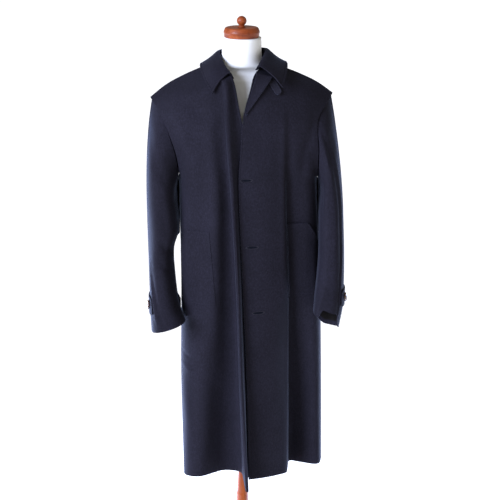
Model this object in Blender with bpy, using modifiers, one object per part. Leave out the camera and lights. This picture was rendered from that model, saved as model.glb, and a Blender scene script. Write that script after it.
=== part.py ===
"""A long navy wool overcoat, hung open and unbuttoned on a limbless dress form.

Metres, +Z up. The coat's front faces -Y, so the wearer's right is -X. The origin is
the middle of the stand's underside. Tables and sizes are in millimetres.

Every panel is a sheet through levels, from the hem to the shoulder. A level is a
path through named fold lines, with a small or a wide round at each of them, and
Solidify gives the sheet the thickness of the cloth, inwards.
"""

import math
from collections import namedtuple

import bmesh
import bpy
import numpy as np
from mathutils import Vector

MM = 0.001
OBJECT_NAME = "wool_overcoat_on_dress_form"

CLOTH = 2.5  # melton and its backing
COLLAR_CLOTH = 3.0  # two layers and canvas
SEAM_GAP = 0.3  # each panel stops this far short of a seam
SLEEVE_SEAM_GAP = 0.6  # at the outer face, so that the turned inner faces clear too
UNDERARM_GAP = 9.6  # the inner sleeve seam's, at the armhole
LAID_GAP = 0.35  # between a panel and what lies on it
BENT_GAP = 1.15  # the same for a piece that bends with the panel, from facet to facet
NOSE_WIDTH = 9.0  # across the blunt nose of the standing fold

COLOURS = {
    "navy_wool": ((0.010, 0.014, 0.034), 0.85, 0.0),
    "horn_button": ((0.16, 0.075, 0.035), 0.35, 0.0),
    "form_cotton": ((0.82, 0.82, 0.80), 0.8, 0.0),
    "varnished_wood": ((0.33, 0.075, 0.03), 0.3, 0.0),
}

# ---------------------------------------------------------------- panel tables, mm

RightLevel = namedtuple(
    "RightLevel",
    "edge_z side_z edge_x edge_y lap_x lap_y nose_x nose_y foot_x foot_y "
    "hollow_x hollow_y crown_x crown_y flank_x flank_y side_x side_y",
)
# The wearer's right front, from its free edge (under the other front) to the side.
RIGHT_FRONT = (
    # ez    sz    edge        lap        nose        foot        hollow      crown        flank        side
    RightLevel(288, 298, 46, -103, 15, -107, 15, -168, -1, -61, -50, -56, -122, -112, -166, -92, -165, 12),
    RightLevel(600, 600, 44, -110, 9, -114, -2, -158, -9, -84, -46, -82, -106, -123, -171, -88, -171, 10),
    RightLevel(850, 845, 40, -116, 1, -120, -10, -153, -16, -104, -46, -103, -86, -131, -167, -84, -170, 8),
    RightLevel(1130, 1110, 34, -122, -6, -124, -25, -150, -31, -120, -51, -121, -76, -135, -164, -90, -174, 4),
    RightLevel(1235, 1165, 18, -125, -8, -126, -32, -147, -38, -127, -56, -127, -78, -136, -156, -102, -171, -58),
    RightLevel(1335, 1225, -2, -123, -14, -124, -38, -140, -44, -126, -62, -124, -86, -127, -158, -100, -179, -78),
    RightLevel(1431, 1300, -22, -100, -28, -104, -43, -118, -50, -111, -70, -110, -98, -108, -168, -92, -206, -70),
    RightLevel(1442, 1338, -50, -78, -56, -80, -66, -82, -76, -82, -100, -80, -134, -74, -186, -64, -226, -46),
    RightLevel(1462, 1366, -78, 2, -84, 2, -92, 2, -100, 1, -120, 1, -150, 0, -205, -1, -250, -2),
)
# How much higher its hem hangs than the line from the edge's height to the side's.
RIGHT_HEM_LIFT = {"edge": 10, "lap": 10, "nose": -12, "foot": 6, "hollow": 9, "crown": 4}

LeftLevel = namedtuple(
    "LeftLevel",
    "edge_z side_z edge_x edge_y chest_x chest_y crest_x crest_y valley_x valley_y "
    "flank_x flank_y side_x side_y",
)
# The wearer's left front, from its free edge (uppermost) to the side.
LEFT_FRONT = (
    # ez   sz    edge       chest      crest       valley     flank       side
    LeftLevel(294, 303, 19, -118, 75, -103, 128, -74, 134, 24, 222, -30, 229, 34),
    LeftLevel(600, 600, 13, -125, 72, -112, 128, -84, 133, -16, 218, -46, 225, 22),
    LeftLevel(850, 845, 3, -130, 66, -121, 126, -96, 131, -60, 212, -62, 219, 12),
    LeftLevel(1130, 1110, -8, -134, 60, -128, 116, -110, 122, -92, 200, -74, 207, 4),
    LeftLevel(1235, 1165, -3, -133, 58, -129, 112, -116, 124, -108, 190, -84, 207, -58),
    LeftLevel(1335, 1235, 5, -129, 58, -124, 108, -114, 126, -108, 176, -90, 208, -76),
    LeftLevel(1400, 1312, 22, -115, 64, -109, 108, -100, 130, -94, 176, -82, 206, -66),
    LeftLevel(1448, 1352, 38, -90, 74, -80, 112, -70, 134, -64, 184, -54, 228, -42),
    LeftLevel(1462, 1378, 78, 2, 98, 2, 122, 1, 150, 0, 204, -1, 248, -2),
)

BackLevel = namedtuple(
    "BackLevel", "mid_z right_z left_z mid_y nape_x nape_y blade_x blade_y flank_x flank_y"
)
# The back, as one half: each row ends at the fronts' side points of the same row.
BACK = (
    # mz   rz   lz    mid  nape     blade      flank
    BackLevel(300, 298, 303, 150, 62, 151, 136, 138, 207, 98),
    BackLevel(600, 600, 600, 147, 62, 148, 136, 134, 206, 94),
    BackLevel(850, 845, 845, 142, 62, 143, 134, 130, 206, 88),
    BackLevel(1130, 1110, 1110, 137, 60, 137, 132, 124, 217, 84),
    BackLevel(1235, 1165, 1165, 136, 58, 135, 124, 120, 186, 94),
    BackLevel(1325, 1225, 1235, 124, 58, 122, 118, 112, 162, 94),
    BackLevel(1400, 1300, 1312, 101, 58, 98, 120, 88, 168, 80),
    BackLevel(1448, 1338, 1352, 78, 60, 66, 124, 56, 184, 48),
    BackLevel(1470, 1366, 1378, 64, 62, 40, 128, 2, 206, 2),
)
SHOULDER_STRAIGHT = 0.75  # share of the fall from neck to shoulder tip that is straight
SHOULDER_TIP_POWER = 5  # the rest comes late, with this power
ROWS_PER_LEVEL = (2, 2, 2, 2, 2, 2, 2, 3)

SleeveLevel = namedtuple("SleeveLevel", "z rise outer_x inner_x front_y back_y")
# Rings of each sleeve, from under the armhole to the cuff; rise lifts the body's side.
SLEEVES = {
    "right": (
        SleeveLevel(1052, 0, -261, -175, -114, 56),
        SleeveLevel(1002, 0, -260, -174, -114, 52),
        SleeveLevel(946, 0, -259, -188, -108, 50),
        SleeveLevel(862, 4, -256, -184, -120, 26),
        SleeveLevel(792, 14, -253, -173, -144, -20),
        SleeveLevel(737, 29, -248, -155, -170, -66),
    ),
    "left": (
        SleeveLevel(1052, 0, 279, 211, -110, 56),
        SleeveLevel(955, 0, 281, 211, -134, 18),
        SleeveLevel(870, 6, 280, 206, -154, -26),
        SleeveLevel(812, 20, 278, 200, -166, -50),
        SleeveLevel(748, 44, 266, 196, -170, -70),
    ),
}
RING_POWER = 2.3  # squareness of a sleeve's rings
SLEEVE_TUCK = (5.0, 3.7, 0.6)  # how far in, to the middle and down it starts, at the shoulder
ARMHOLE_GAP = (1.2, 1.6)  # how far out it starts beside the body, and more at the underarm
SLEEVE_STEPS = {"right": (1, 1, 2, 2, 3), "left": (2, 2, 2, 3)}
# How far the crumpled left cuff is pushed up in front and let down behind: share of the
# way from the outer to the inner seam, and the lift.
CuffLift = namedtuple("CuffLift", "share lift")
LEFT_CUFF = {
    "front": (
        CuffLift(0.0, 0),
        CuffLift(0.12, 3),
        CuffLift(0.22, 14),
        CuffLift(0.29, 38),
        CuffLift(0.57, 30),
        CuffLift(0.68, 2),
        CuffLift(1.0, 0),
    ),
    "back": (
        CuffLift(0.0, 0),
        CuffLift(0.12, -6),
        CuffLift(0.25, -13),
        CuffLift(0.5, -25),
        CuffLift(0.62, -20),
        CuffLift(0.8, -4),
        CuffLift(1.0, 0),
    ),
}
SLEEVE_HEAD_STEPS = 5

CollarStation = namedtuple(
    "CollarStation",
    "base_x base_y base_z fold_x fold_y fold_z edge_x edge_y edge_z arch",
)
# Round the neck, from the wearer's right front end over the back to the left one.
COLLAR = (
    CollarStation(-20, -92, 1434, -28, -98, 1449, -78, -124, 1397, 6),
    CollarStation(-44, -66, 1447, -45, -66, 1469, -99, -84, 1426, 9),
    CollarStation(-72, 0, 1464, -57, 0, 1491, -114, 0, 1455, -1),
    CollarStation(-55, 38, 1468, -46, 38, 1493, -96, 66, 1447, -2),
    CollarStation(0, 58, 1473, 0, 56, 1499, 0, 98, 1440, 4),
    CollarStation(55, 38, 1468, 50, 38, 1497, 102, 64, 1451, -2),
    CollarStation(72, 0, 1464, 63, 0, 1498, 123, -2, 1462, -4),
    CollarStation(48, -58, 1455, 52, -60, 1481, 121, -66, 1440, 1),
    CollarStation(36, -80, 1454, 43, -91, 1467, 110, -112, 1412, 5),
)
COLLAR_STEPS = 2  # between stations
FOLD_WIDTH = 9.5  # across the collar's rolled fold

FormRing = namedtuple("FormRing", "z half_x front_y back_y power")
SHOULDER = None  # this ring is as wide as the coat's shoulders leave room for
FORM = (
    FormRing(762, 128, -84, 98, 2.1),
    FormRing(772, 134, -90, 104, 2.1),
    FormRing(860, 146, -94, 112, 2.1),
    FormRing(1000, 134, -90, 102, 2.1),
    FormRing(1150, 146, -104, 112, 2.2),
    FormRing(1250, 156, -106, 110, 2.2),
    FormRing(1330, 162, -92, 94, 2.1),
    FormRing(1375, 170, -70, 70, 1.9),
    FormRing(1400, 174, -58, 58, 1.6),
    FormRing(1416, 156, -50, 44, 1.5),
    FormRing(1432, SHOULDER, -34, 32, 1.1),
    FormRing(1444, SHOULDER, -34, 36, 1.1),
    FormRing(1453, 80, -50, 46, 1.6),
    FormRing(1463, 60, -53, 52, 2.0),
    FormRing(1480, 54.5, -53, 53, 2.0),
    FormRing(1529, 53, -53, 53, 2.0),
)
FORM_SIDES = 28
FORM_CLEARANCE = 0.8  # under the coat's lining side at the shoulders

CAP_RADIUS, CAP_BOTTOM, CAP_TOP, CAP_EDGE = 49, 1529.4, 1557, 8
KNOB_RADIUS, KNOB_CENTRE = 13.3, 1574
POLE_RADIUS, POLE_NECK_RADIUS = 16.8, 10.5
POLE_RING_TOP, POLE_TAPER_TOP = 210, 292
BASE_RADIUS, BASE_HEIGHT = 170, 24
TURNED_STEPS = 24

POCKET_HEIGHT, POCKET_CLOTH, POCKET_ROWS = 212, 2.0, 8
POCKET_BOTTOM = {"right": 806, "left": 819}
POCKET_COLUMNS = {"right": (17, 25), "left": (3, 10)}  # of each front's path
POCKET_SLANT = 66  # how far the top falls to the outer edge, where the hand goes in
POCKET_SLANT_START = 0.62  # share of the pocket's width at which that starts
CUFF_TAB_WIDTH, CUFF_TAB_CLOTH = 44, 2.5
CUFF_TAB_BOTTOM = {"right": 782, "left": 812}
CUFF_TAB_ANGLES, CUFF_TAB_COLUMNS = (-100, 44), 9  # degrees, from straight out to the front
CUFF_BUTTON_RADIUS, BUTTON_THICKNESS = 12.5, 4.0
FRONT_BUTTON_RADIUS = 12.5
FRONT_BUTTON_X, FRONT_BUTTON_HEIGHTS = 21, (788, 975, 1162)
LATCH_START, LATCH_END = (78, 1427), (99.5, 1390)  # x, z of the throat latch's middle
LATCH_WIDTH = 17
LAPEL_CORNER = (76, 1432)  # x, z of the turned-back front's outer corner
LAPEL_FOOT_ROW, LAPEL_TOP_ROW = 5, 7  # levels of LEFT_FRONT between which it rolls
LAPEL_LIFT = 5.0


# ---------------------------------------------------------------- shape functions


def smooth_rows(rows, steps_per_row):
    """Catmull-Rom through the rows of a table, with so many steps between each two."""
    rows = np.asarray(rows, float)
    padded = np.vstack([2 * rows[0] - rows[1], rows, 2 * rows[-1] - rows[-2]])
    found = []
    for i, steps in enumerate(steps_per_row):
        before, start, end, after = padded[i : i + 4]
        t = (np.arange(steps) / steps)[:, None]
        found.append(
            0.5
            * (
                2 * start
                + (end - before) * t
                + (2 * before - 5 * start + 4 * end - after) * t**2
                + (3 * start - before - 3 * end + after) * t**3
            )
        )
    return np.vstack(found + [rows[-1:]])


def rounded_paths(points, reach, corner_steps, straight_steps):
    """Each row of points becomes a path that rounds every inner point.

    points is (rows, n, 3). reach[k] is how far before and after inner point k the
    round starts, in mm, up to 0.48 of the shorter side there.
    """
    sides = np.linalg.norm(np.diff(points, axis=1), axis=2)
    pieces = [points[:, :1]]
    last = points[:, 0]
    for k in range(1, points.shape[1] - 1):
        here = points[:, k]
        room = 0.48 * np.minimum(sides[:, k - 1], sides[:, k])
        cut = np.minimum(room, reach[k - 1])[:, None]
        start = here + (points[:, k - 1] - here) * cut / sides[:, k - 1][:, None]
        end = here + (points[:, k + 1] - here) * cut / sides[:, k][:, None]
        run = np.linspace(0, 1, straight_steps[k - 1] + 1)[1:, None, None]
        pieces.append((last + (start - last) * run).transpose(1, 0, 2))
        t = np.linspace(0, 1, corner_steps[k - 1] + 1)[1:, None, None]
        arc = start * (1 - t) ** 2 + 2 * here * t * (1 - t) + end * t**2
        pieces.append(arc.transpose(1, 0, 2))
        last = end
    run = np.linspace(0, 1, straight_steps[-1] + 1)[1:, None, None]
    pieces.append((last + (points[:, -1] - last) * run).transpose(1, 0, 2))
    return np.concatenate(pieces, axis=1)


def shoulder_fall(share):
    """How much of its fall a level has made, at this share of the way to its side."""
    straight = SHOULDER_STRAIGHT * share
    return straight + (1 - SHOULDER_STRAIGHT) * share**SHOULDER_TIP_POWER


def heights(x, inner_x, outer_x, inner_z, outer_z):
    share = np.clip((x - inner_x) / (outer_x - inner_x), 0, 1)
    return inner_z + (outer_z - inner_z) * shoulder_fall(share)


def shoulder_half_width(z):
    """Half the form's width at this height, just inside the coat's lower shoulder."""
    neck, tip = RIGHT_FRONT[-1].edge_z, RIGHT_FRONT[-1].side_z
    neck_x, tip_x = -RIGHT_FRONT[-1].edge_x, -RIGHT_FRONT[-1].side_x
    share = np.linspace(0, 1, 200)
    line = neck - (neck - tip) * shoulder_fall(share)
    slope = np.gradient(line, share * (tip_x - neck_x))
    inside = line - (CLOTH + FORM_CLEARANCE) * np.sqrt(1 + slope**2)
    return neck_x + (tip_x - neck_x) * np.interp(z, inside[::-1], share[::-1])


def level_points(table, names):
    """(rows, folds, 3) of a front's fold lines, its heights included."""
    rows = smooth_rows(table, ROWS_PER_LEVEL)
    column = {name: rows[:, i] for i, name in enumerate(table[0]._fields)}
    folds = []
    for name in names:
        x, y = column[name + "_x"], column[name + "_y"]
        z = heights(
            x, column["edge_x"], column["side_x"], column["edge_z"], column["side_z"]
        )
        folds.append(np.stack([x, y, z], axis=1))
    return np.stack(folds, axis=1)


def moved(points, x=0.0, y=0.0, z=0.0):
    return points + np.array([x, y, z])


def trimmed_ends(grid, start=SEAM_GAP, end=SEAM_GAP, first=0.0, last=0.0):
    """The sheet with its edges drawn in by these gaps: start/end of a row, first/last row."""
    grid = grid.copy()

    def draw_in(edge, inner, gap):
        way = inner - edge
        return edge + way * gap / np.linalg.norm(way, axis=-1, keepdims=True)

    grid[:, 0] = draw_in(grid[:, 0], grid[:, 1], start)
    grid[:, -1] = draw_in(grid[:, -1], grid[:, -2], end)
    if first:
        grid[0] = draw_in(grid[0], grid[1], first)
    if last:
        grid[-1] = draw_in(grid[-1], grid[-2], last)
    return grid


def sheet_normals(grid):
    """Outward normals of a sheet: rows go up, and seen from outside paths run leftwards."""
    across = np.gradient(grid, axis=1)
    up = np.gradient(grid, axis=0)
    normal = np.cross(up, across)
    return normal / np.linalg.norm(normal, axis=2, keepdims=True)


# ---------------------------------------------------------------- the sheets


def right_front_sheet():
    names = ("edge", "lap", "nose", "foot", "hollow", "crown", "flank", "side")
    folds = level_points(RIGHT_FRONT, names)
    folds[0, :, 2] += [RIGHT_HEM_LIFT.get(name, 0) for name in names]
    nose = folds[:, 2]
    folds = np.concatenate(
        [
            folds[:, :2],
            moved(nose, x=NOSE_WIDTH / 2)[:, None],
            moved(nose, x=-NOSE_WIDTH / 2)[:, None],
            folds[:, 3:],
        ],
        axis=1,
    )
    return rounded_paths(
        folds,
        reach=(9, 5, 5, 18, 30, 40, 34),
        corner_steps=(2, 2, 2, 3, 3, 3, 3),
        straight_steps=(1, 1, 1, 1, 1, 1, 1, 2),
    )


def left_front_sheet():
    folds = level_points(
        LEFT_FRONT, ("edge", "chest", "crest", "valley", "flank", "side")
    )
    grid = rounded_paths(
        folds,
        reach=(40, 14, 16, 34),
        corner_steps=(2, 4, 4, 3),
        straight_steps=(2, 1, 1, 1, 2),
    )
    return grid[:, ::-1]  # from the side to the free edge, so that it faces out


def back_sheet():
    rows = smooth_rows(BACK, ROWS_PER_LEVEL)
    back = {name: rows[:, i] for i, name in enumerate(BACK[0]._fields)}
    right = smooth_rows(RIGHT_FRONT, ROWS_PER_LEVEL)
    left = smooth_rows(LEFT_FRONT, ROWS_PER_LEVEL)
    right_x, right_y = right[:, -2], right[:, -1]
    left_x, left_y = left[:, -2], left[:, -1]
    below_armhole = sum(ROWS_PER_LEVEL[:3])
    up = np.clip((np.arange(len(rows)) - below_armhole) / 2, 0, 1)
    middle_x = (right_x + left_x) / 2
    half = (left_x - right_x) / 2
    nominal = np.array([level.side_x for level in LEFT_FRONT])
    nominal = smooth_rows(nominal[:, None], ROWS_PER_LEVEL)[:, 0]

    def point(side, name):
        share = back[name + "_x"] / nominal
        x = middle_x + side * half * share
        y = back[name + "_y"]
        z = heights(
            x,
            middle_x,
            right_x if side < 0 else left_x,
            back["mid_z"],
            back["right_z"] if side < 0 else back["left_z"],
        )
        return np.stack([x, y, z], axis=1)

    def end(x, y, z):
        return np.stack([x, y * (1 - 2 * up), z], axis=1)

    folds = [
        end(right_x, right_y, back["right_z"]),
        *(point(-1, name) for name in ("flank", "blade", "nape")),
        np.stack([middle_x, back["mid_y"], back["mid_z"]], axis=1),
        *(point(1, name) for name in ("nape", "blade", "flank")),
        end(left_x, left_y, back["left_z"]),
    ]
    return rounded_paths(
        np.stack(folds, axis=1),
        reach=(60,) * 7,
        corner_steps=(3, 2, 2, 2, 2, 2, 3),
        straight_steps=(2, 1, 1, 1, 1, 1, 1, 2),
    )


def armhole(side):
    """The armhole as two lines of points from the shoulder's tip to the underarm."""
    first = sum(ROWS_PER_LEVEL[:3])
    table = RIGHT_FRONT if side == "right" else LEFT_FRONT
    rows = smooth_rows(table, ROWS_PER_LEVEL)[first:]
    front = np.stack([rows[:, -2], rows[:, -1], rows[:, 1]], axis=1)
    up = np.clip(np.arange(len(front)) / 2, 0, 1)
    back = front * np.stack([np.ones_like(up), 1 - 2 * up, np.ones_like(up)], axis=1)
    return {"front": front[::-1], "back": back[::-1]}


def ring_points(levels, angles, facing):
    """(rings, columns, 3): a squarish oval at each level, from outside round to the body.

    facing is -1 for the front half and 1 for the back half.
    """
    outer, inner = levels["outer_x"][:, None], levels["inner_x"][:, None]
    front, back = levels["front_y"][:, None], levels["back_y"][:, None]
    across = np.cos(angles)
    along = np.sin(angles)
    across = np.sign(across) * np.abs(across) ** (2 / RING_POWER)
    along = np.abs(along) ** (2 / RING_POWER)
    x = (outer + inner) / 2 + (outer - inner) / 2 * across
    y = (front + back) / 2 + facing * (back - front) / 2 * along
    z = levels["z"][:, None] + levels["rise"][:, None] * (1 - across) / 2
    return np.stack([x, y, z + 0 * x], axis=2)


def crumpled(sheet, share, rows, table):
    """The sheet with its lowest rows drawn towards the row above them, or away from it."""
    table = np.array(table)
    lift = np.interp(share, table[:, 0], table[:, 1])
    top = sheet[rows]
    drop = (top - sheet[0])[:, 2]
    sheet = sheet.copy()
    sheet[:rows] += (top - sheet[:rows]) * (lift / drop)[:, None]
    return sheet


def sleeve_sheet(side, half):
    """One half of a sleeve, from the cuff up to the armhole."""
    out = -1 if side == "right" else 1
    facing = -1 if half == "front" else 1
    hole = armhole(side)[half]
    steps = np.linalg.norm(np.diff(hole, axis=0), axis=1)
    share = np.concatenate([[0], np.cumsum(steps)]) / steps.sum()
    angles = math.pi * share
    tuck = np.clip(1 - share / 0.45, 0, 1)
    start = hole.copy()
    under = np.minimum(1, 4 * tuck)
    beside = ARMHOLE_GAP[0] + ARMHOLE_GAP[1] * share
    start[:, 0] += out * (-SLEEVE_TUCK[0] * tuck + beside * (1 - tuck))
    start[:, 1] -= facing * SLEEVE_TUCK[1] * under * np.minimum(1, share * 8)
    start[:, 2] -= SLEEVE_TUCK[2] * tuck
    rows = smooth_rows(SLEEVES[side], SLEEVE_STEPS[side])
    levels = {name: rows[:, i] for i, name in enumerate(SleeveLevel._fields)}
    rings = ring_points(levels, angles, facing)
    first = rings[0]
    reach = np.linalg.norm(first - start, axis=1)[:, None]
    bulge = np.sin(angles)
    leave = np.stack(
        [out * (0.16 + 0.3 * bulge), facing * 0.28 * bulge, -1 + 0.2 * bulge], axis=1
    )
    leave = leave / np.linalg.norm(leave, axis=1, keepdims=True) * reach
    arrive = rings[1] - rings[0]
    arrive = arrive / np.linalg.norm(arrive, axis=1, keepdims=True) * reach
    head = []
    for t in np.arange(SLEEVE_HEAD_STEPS) / SLEEVE_HEAD_STEPS:
        head.append(
            (2 * t**3 - 3 * t**2 + 1) * start
            + (t**3 - 2 * t**2 + t) * leave
            + (-2 * t**3 + 3 * t**2) * first
            + (t**3 - t**2) * arrive
        )
    sheet = np.concatenate([np.stack(head), rings])[::-1]
    if side == "left":
        sheet = crumpled(sheet, share, SLEEVE_STEPS[side][-1], LEFT_CUFF[half])
    above = np.clip(np.arange(-len(rings), SLEEVE_HEAD_STEPS) / SLEEVE_HEAD_STEPS, 0, 1)
    inner_gap = SLEEVE_SEAM_GAP + (UNDERARM_GAP - SLEEVE_SEAM_GAP) * above[:, None]
    sheet = trimmed_ends(sheet, SLEEVE_SEAM_GAP, inner_gap)
    return sheet[:, ::-1] if out * facing > 0 else sheet


def collar_sheet():
    """From the stand's foot by the neck, over the rolled fold, to the leaf's edge."""
    rows = smooth_rows(COLLAR, (COLLAR_STEPS,) * (len(COLLAR) - 1))
    base, fold, edge = rows[:, 0:3], rows[:, 3:6], rows[:, 6:9]
    arch = rows[:, 9:]
    away = edge - fold
    away[:, 2] = 0
    away /= np.linalg.norm(away, axis=1, keepdims=True)
    fold_out = fold + away * FOLD_WIDTH + [0, 0, -1.5]
    middle = (fold_out + edge) / 2 + arch * (0.6 * away + [0, 0, 1])
    points = np.stack([base, fold, fold_out, middle, edge], axis=1)
    return rounded_paths(
        points,
        reach=(4.6, 4.6, 30),
        corner_steps=(2, 2, 2),
        straight_steps=(1, 1, 1, 1),
    )


def dense_sheet(grid, steps=8):
    """The flat facets of a sheet, sampled finely: points and their outward normals."""
    both = np.concatenate([grid, sheet_normals(grid)], axis=2)
    for axis in (0, 1):
        both = np.moveaxis(both, axis, 0)
        t = (np.arange(steps) / steps)[:, None, None, None]
        both = both[:-1] * (1 - t) + both[1:] * t
        both = np.moveaxis(both.reshape(-1, *both.shape[2:]), 0, axis)
    both = both.reshape(-1, 6)
    return both[:, :3], both[:, 3:]


def laid_on(grid, x, z, height):
    """Points over a front at these x and z, so far out from it."""
    points, normals = dense_sheet(grid)
    flat = np.stack([np.ravel(x), np.ravel(z)], axis=1)
    gap = ((points[None, :, [0, 2]] - flat[:, None]) ** 2).sum(axis=2)
    gap[:, normals[:, 1] > -0.2] = 1e9
    near = gap.argmin(axis=1)
    foot, normal = points[near], normals[near]
    step = flat - foot[:, [0, 2]]
    y = foot[:, 1] - (normal[:, 0] * step[:, 0] + normal[:, 2] * step[:, 1]) / normal[:, 1]
    found = np.stack([flat[:, 0], y, flat[:, 1]], axis=1)
    found += normal * np.ravel(height)[:, None]
    return found.reshape(*np.shape(x), 3)


def facet_at(grid, x, z, radius):
    """The place on a front under a round piece, and the way it faces there."""
    beside = radius * np.array([-1, 1, 0, 0])
    above = radius * np.array([0, 0, -1, 1])
    left, right, low, high = laid_on(grid, x + beside, z + above, np.zeros(4))
    normal = np.cross(right - left, high - low)
    return (left + right + low + high) / 4, normal / np.linalg.norm(normal)


def facing_sheet(front):
    """The corner of the left front that is turned back, from its roll to its outer corner."""
    table = np.array(LEFT_FRONT)
    foot, top = table[LAPEL_FOOT_ROW], table[LAPEL_TOP_ROW]
    up = np.linspace(0.07, 1, 9)[:, None]
    out = np.linspace(0, 1, 6)[None, :]
    roll_x = foot[2] + (top[2] - foot[2]) * up
    roll_z = foot[0] + (top[0] - foot[0]) * up
    edge_x = foot[2] + (LAPEL_CORNER[0] - foot[2]) * up
    edge_z = foot[0] + (LAPEL_CORNER[1] - foot[0]) * up
    x = roll_x + (edge_x - roll_x) * out + 1.0
    z = roll_z + (edge_z - roll_z) * out - 2.0
    height = BENT_GAP + 0.3 + CLOTH + LAPEL_LIFT * out**2 * up
    return laid_on(front, x, z, height + 0 * x)


def latch_sheet(front):
    start, end = np.array(LATCH_START, float), np.array(LATCH_END, float)
    along = (end - start) / np.linalg.norm(end - start)
    across = np.array([along[1], -along[0]])
    reach = np.linalg.norm(end - start)
    distance = np.linspace(0, reach, 8)
    from_tip = reach - distance
    half = LATCH_WIDTH / 2
    width = np.where(
        from_tip < half, np.sqrt(np.maximum(half**2 - (half - from_tip) ** 2, 9.0)), half
    )
    side = np.linspace(-1, 1, 5)
    place = (
        start
        + along * distance[:, None, None]
        + across * (width[:, None] * side[None, :])[:, :, None]
    )
    height = np.full(place.shape[:2], BENT_GAP - 0.3 + CLOTH)
    return laid_on(front, place[..., 0], place[..., 1], height)[::-1]


def patch_sheet(grid, columns, bottom, outer_first):
    """A pocket: the panel's own points between two of its paths' places, moved out."""
    first, last = columns
    strip = grid + sheet_normals(grid) * (BENT_GAP + POCKET_CLOTH)
    strip = strip[:, first : last + 1]
    steps = np.linalg.norm(np.diff(strip[strip.shape[0] // 2], axis=0), axis=1)
    share = np.concatenate([[0], np.cumsum(steps)]) / steps.sum()
    if outer_first:
        share = 1 - share
    slant = np.clip((share - POCKET_SLANT_START) / (1 - POCKET_SLANT_START), 0, 1)
    height = POCKET_HEIGHT - POCKET_SLANT * slant
    found = np.empty((POCKET_ROWS, strip.shape[1], 3))
    for j in range(strip.shape[1]):
        levels = np.linspace(bottom, bottom + height[j], POCKET_ROWS)
        for k in range(3):
            found[:, j, k] = np.interp(levels, strip[:, j, 2], strip[:, j, k])
    return found


def facet_middle(grid, column):
    """The middle of the sheet's strip that starts at this column, and the way it faces."""
    rows = grid.shape[0] // 2 - 1
    corners = grid[rows : rows + 2, column : column + 2]
    across = corners[:, 1] - corners[:, 0]
    up = corners[1] - corners[0]
    normal = np.cross(up.sum(axis=0), across.sum(axis=0))
    return corners.mean(axis=(0, 1)), normal / np.linalg.norm(normal)


def tab_sheet(side):
    """A cuff tab, round the outer side of a sleeve from its back."""
    out = -1 if side == "right" else 1
    rows = smooth_rows(SLEEVES[side], (12,) * (len(SLEEVES[side]) - 1))
    angles = np.radians(np.linspace(*CUFF_TAB_ANGLES, CUFF_TAB_COLUMNS))
    levels = {name: rows[:, i] for i, name in enumerate(SleeveLevel._fields)}
    front = ring_points(levels, np.maximum(angles, 0), -1)
    back = ring_points(levels, np.maximum(-angles, 0), 1)
    ring = np.where((angles >= 0)[None, :, None], front, back)[::-1]
    if out < 0:
        ring = ring[:, ::-1]
    ring = ring + sheet_normals(ring) * (BENT_GAP + 0.25 + CUFF_TAB_CLOTH)
    levels_z = np.linspace(0, CUFF_TAB_WIDTH, 4) + CUFF_TAB_BOTTOM[side]
    found = np.empty((len(levels_z), ring.shape[1], 3))
    for j in range(ring.shape[1]):
        for k in range(3):
            found[:, j, k] = np.interp(levels_z, ring[:, j, 2], ring[:, j, k])
    return found


# ---------------------------------------------------------------- Blender helpers


def material(name):
    found = bpy.data.materials.get(name)
    if found:
        return found
    colour, roughness, metallic = COLOURS[name]
    found = bpy.data.materials.new(name)
    found.use_nodes = True
    shader = found.node_tree.nodes["Principled BSDF"]
    shader.inputs["Base Color"].default_value = (*colour, 1.0)
    shader.inputs["Roughness"].default_value = roughness
    shader.inputs["Metallic"].default_value = metallic
    found.diffuse_color = (*colour, 1.0)
    return found


def mesh_object(name, points, faces, material_name):
    mesh = bpy.data.meshes.new(name)
    mesh.from_pydata((np.asarray(points) * MM).tolist(), [], faces)
    mesh.shade_smooth()
    mesh.materials.append(material(material_name))
    obj = bpy.data.objects.new(name, mesh)
    bpy.data.collections[OBJECT_NAME].objects.link(obj)
    return obj


def grid_faces(rows, columns, closed=False):
    row, column = np.meshgrid(
        np.arange(rows - 1), np.arange(columns if closed else columns - 1), indexing="ij"
    )
    after = (column + 1) % columns
    corners = (
        row * columns + column,
        (row + 1) * columns + column,
        (row + 1) * columns + after,
        row * columns + after,
    )
    return np.stack(corners, axis=-1).reshape(-1, 4).tolist()


def wall(name, grid, thickness):
    """A sheet of points with the cloth's thickness added behind it."""
    obj = mesh_object(name, grid.reshape(-1, 3), grid_faces(*grid.shape[:2]), "navy_wool")
    solidify = obj.modifiers.new("thickness", "SOLIDIFY")
    solidify.thickness = thickness * MM
    solidify.offset = -1.0
    return obj


def ring_object(name, rings, material_name):
    """A closed body through rings of points, with flat ends."""
    rings = np.asarray(rings)
    count, sides = rings.shape[:2]
    faces = grid_faces(count, sides, closed=True)
    faces.append(list(range(sides)))
    faces.append([(count - 1) * sides + i for i in range(sides)][::-1])
    return mesh_object(name, rings.reshape(-1, 3), faces, material_name)


def turned(name, profile, material_name, steps=TURNED_STEPS):
    """A body turned about the vertical: its profile, as radius and height, top to bottom."""
    mesh = bpy.data.meshes.new(name)
    points = [(radius * MM, 0, height * MM) for radius, height in profile]
    mesh.from_pydata(points, [(i, i + 1) for i in range(len(points) - 1)], [])
    mesh.materials.append(material(material_name))
    obj = bpy.data.objects.new(name, mesh)
    bpy.data.collections[OBJECT_NAME].objects.link(obj)
    screw = obj.modifiers.new("turning", "SCREW")
    screw.steps = screw.render_steps = steps
    screw.use_merge_vertices = True
    screw.merge_threshold = 0.00005
    screw.use_smooth_shade = True
    return obj


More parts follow.
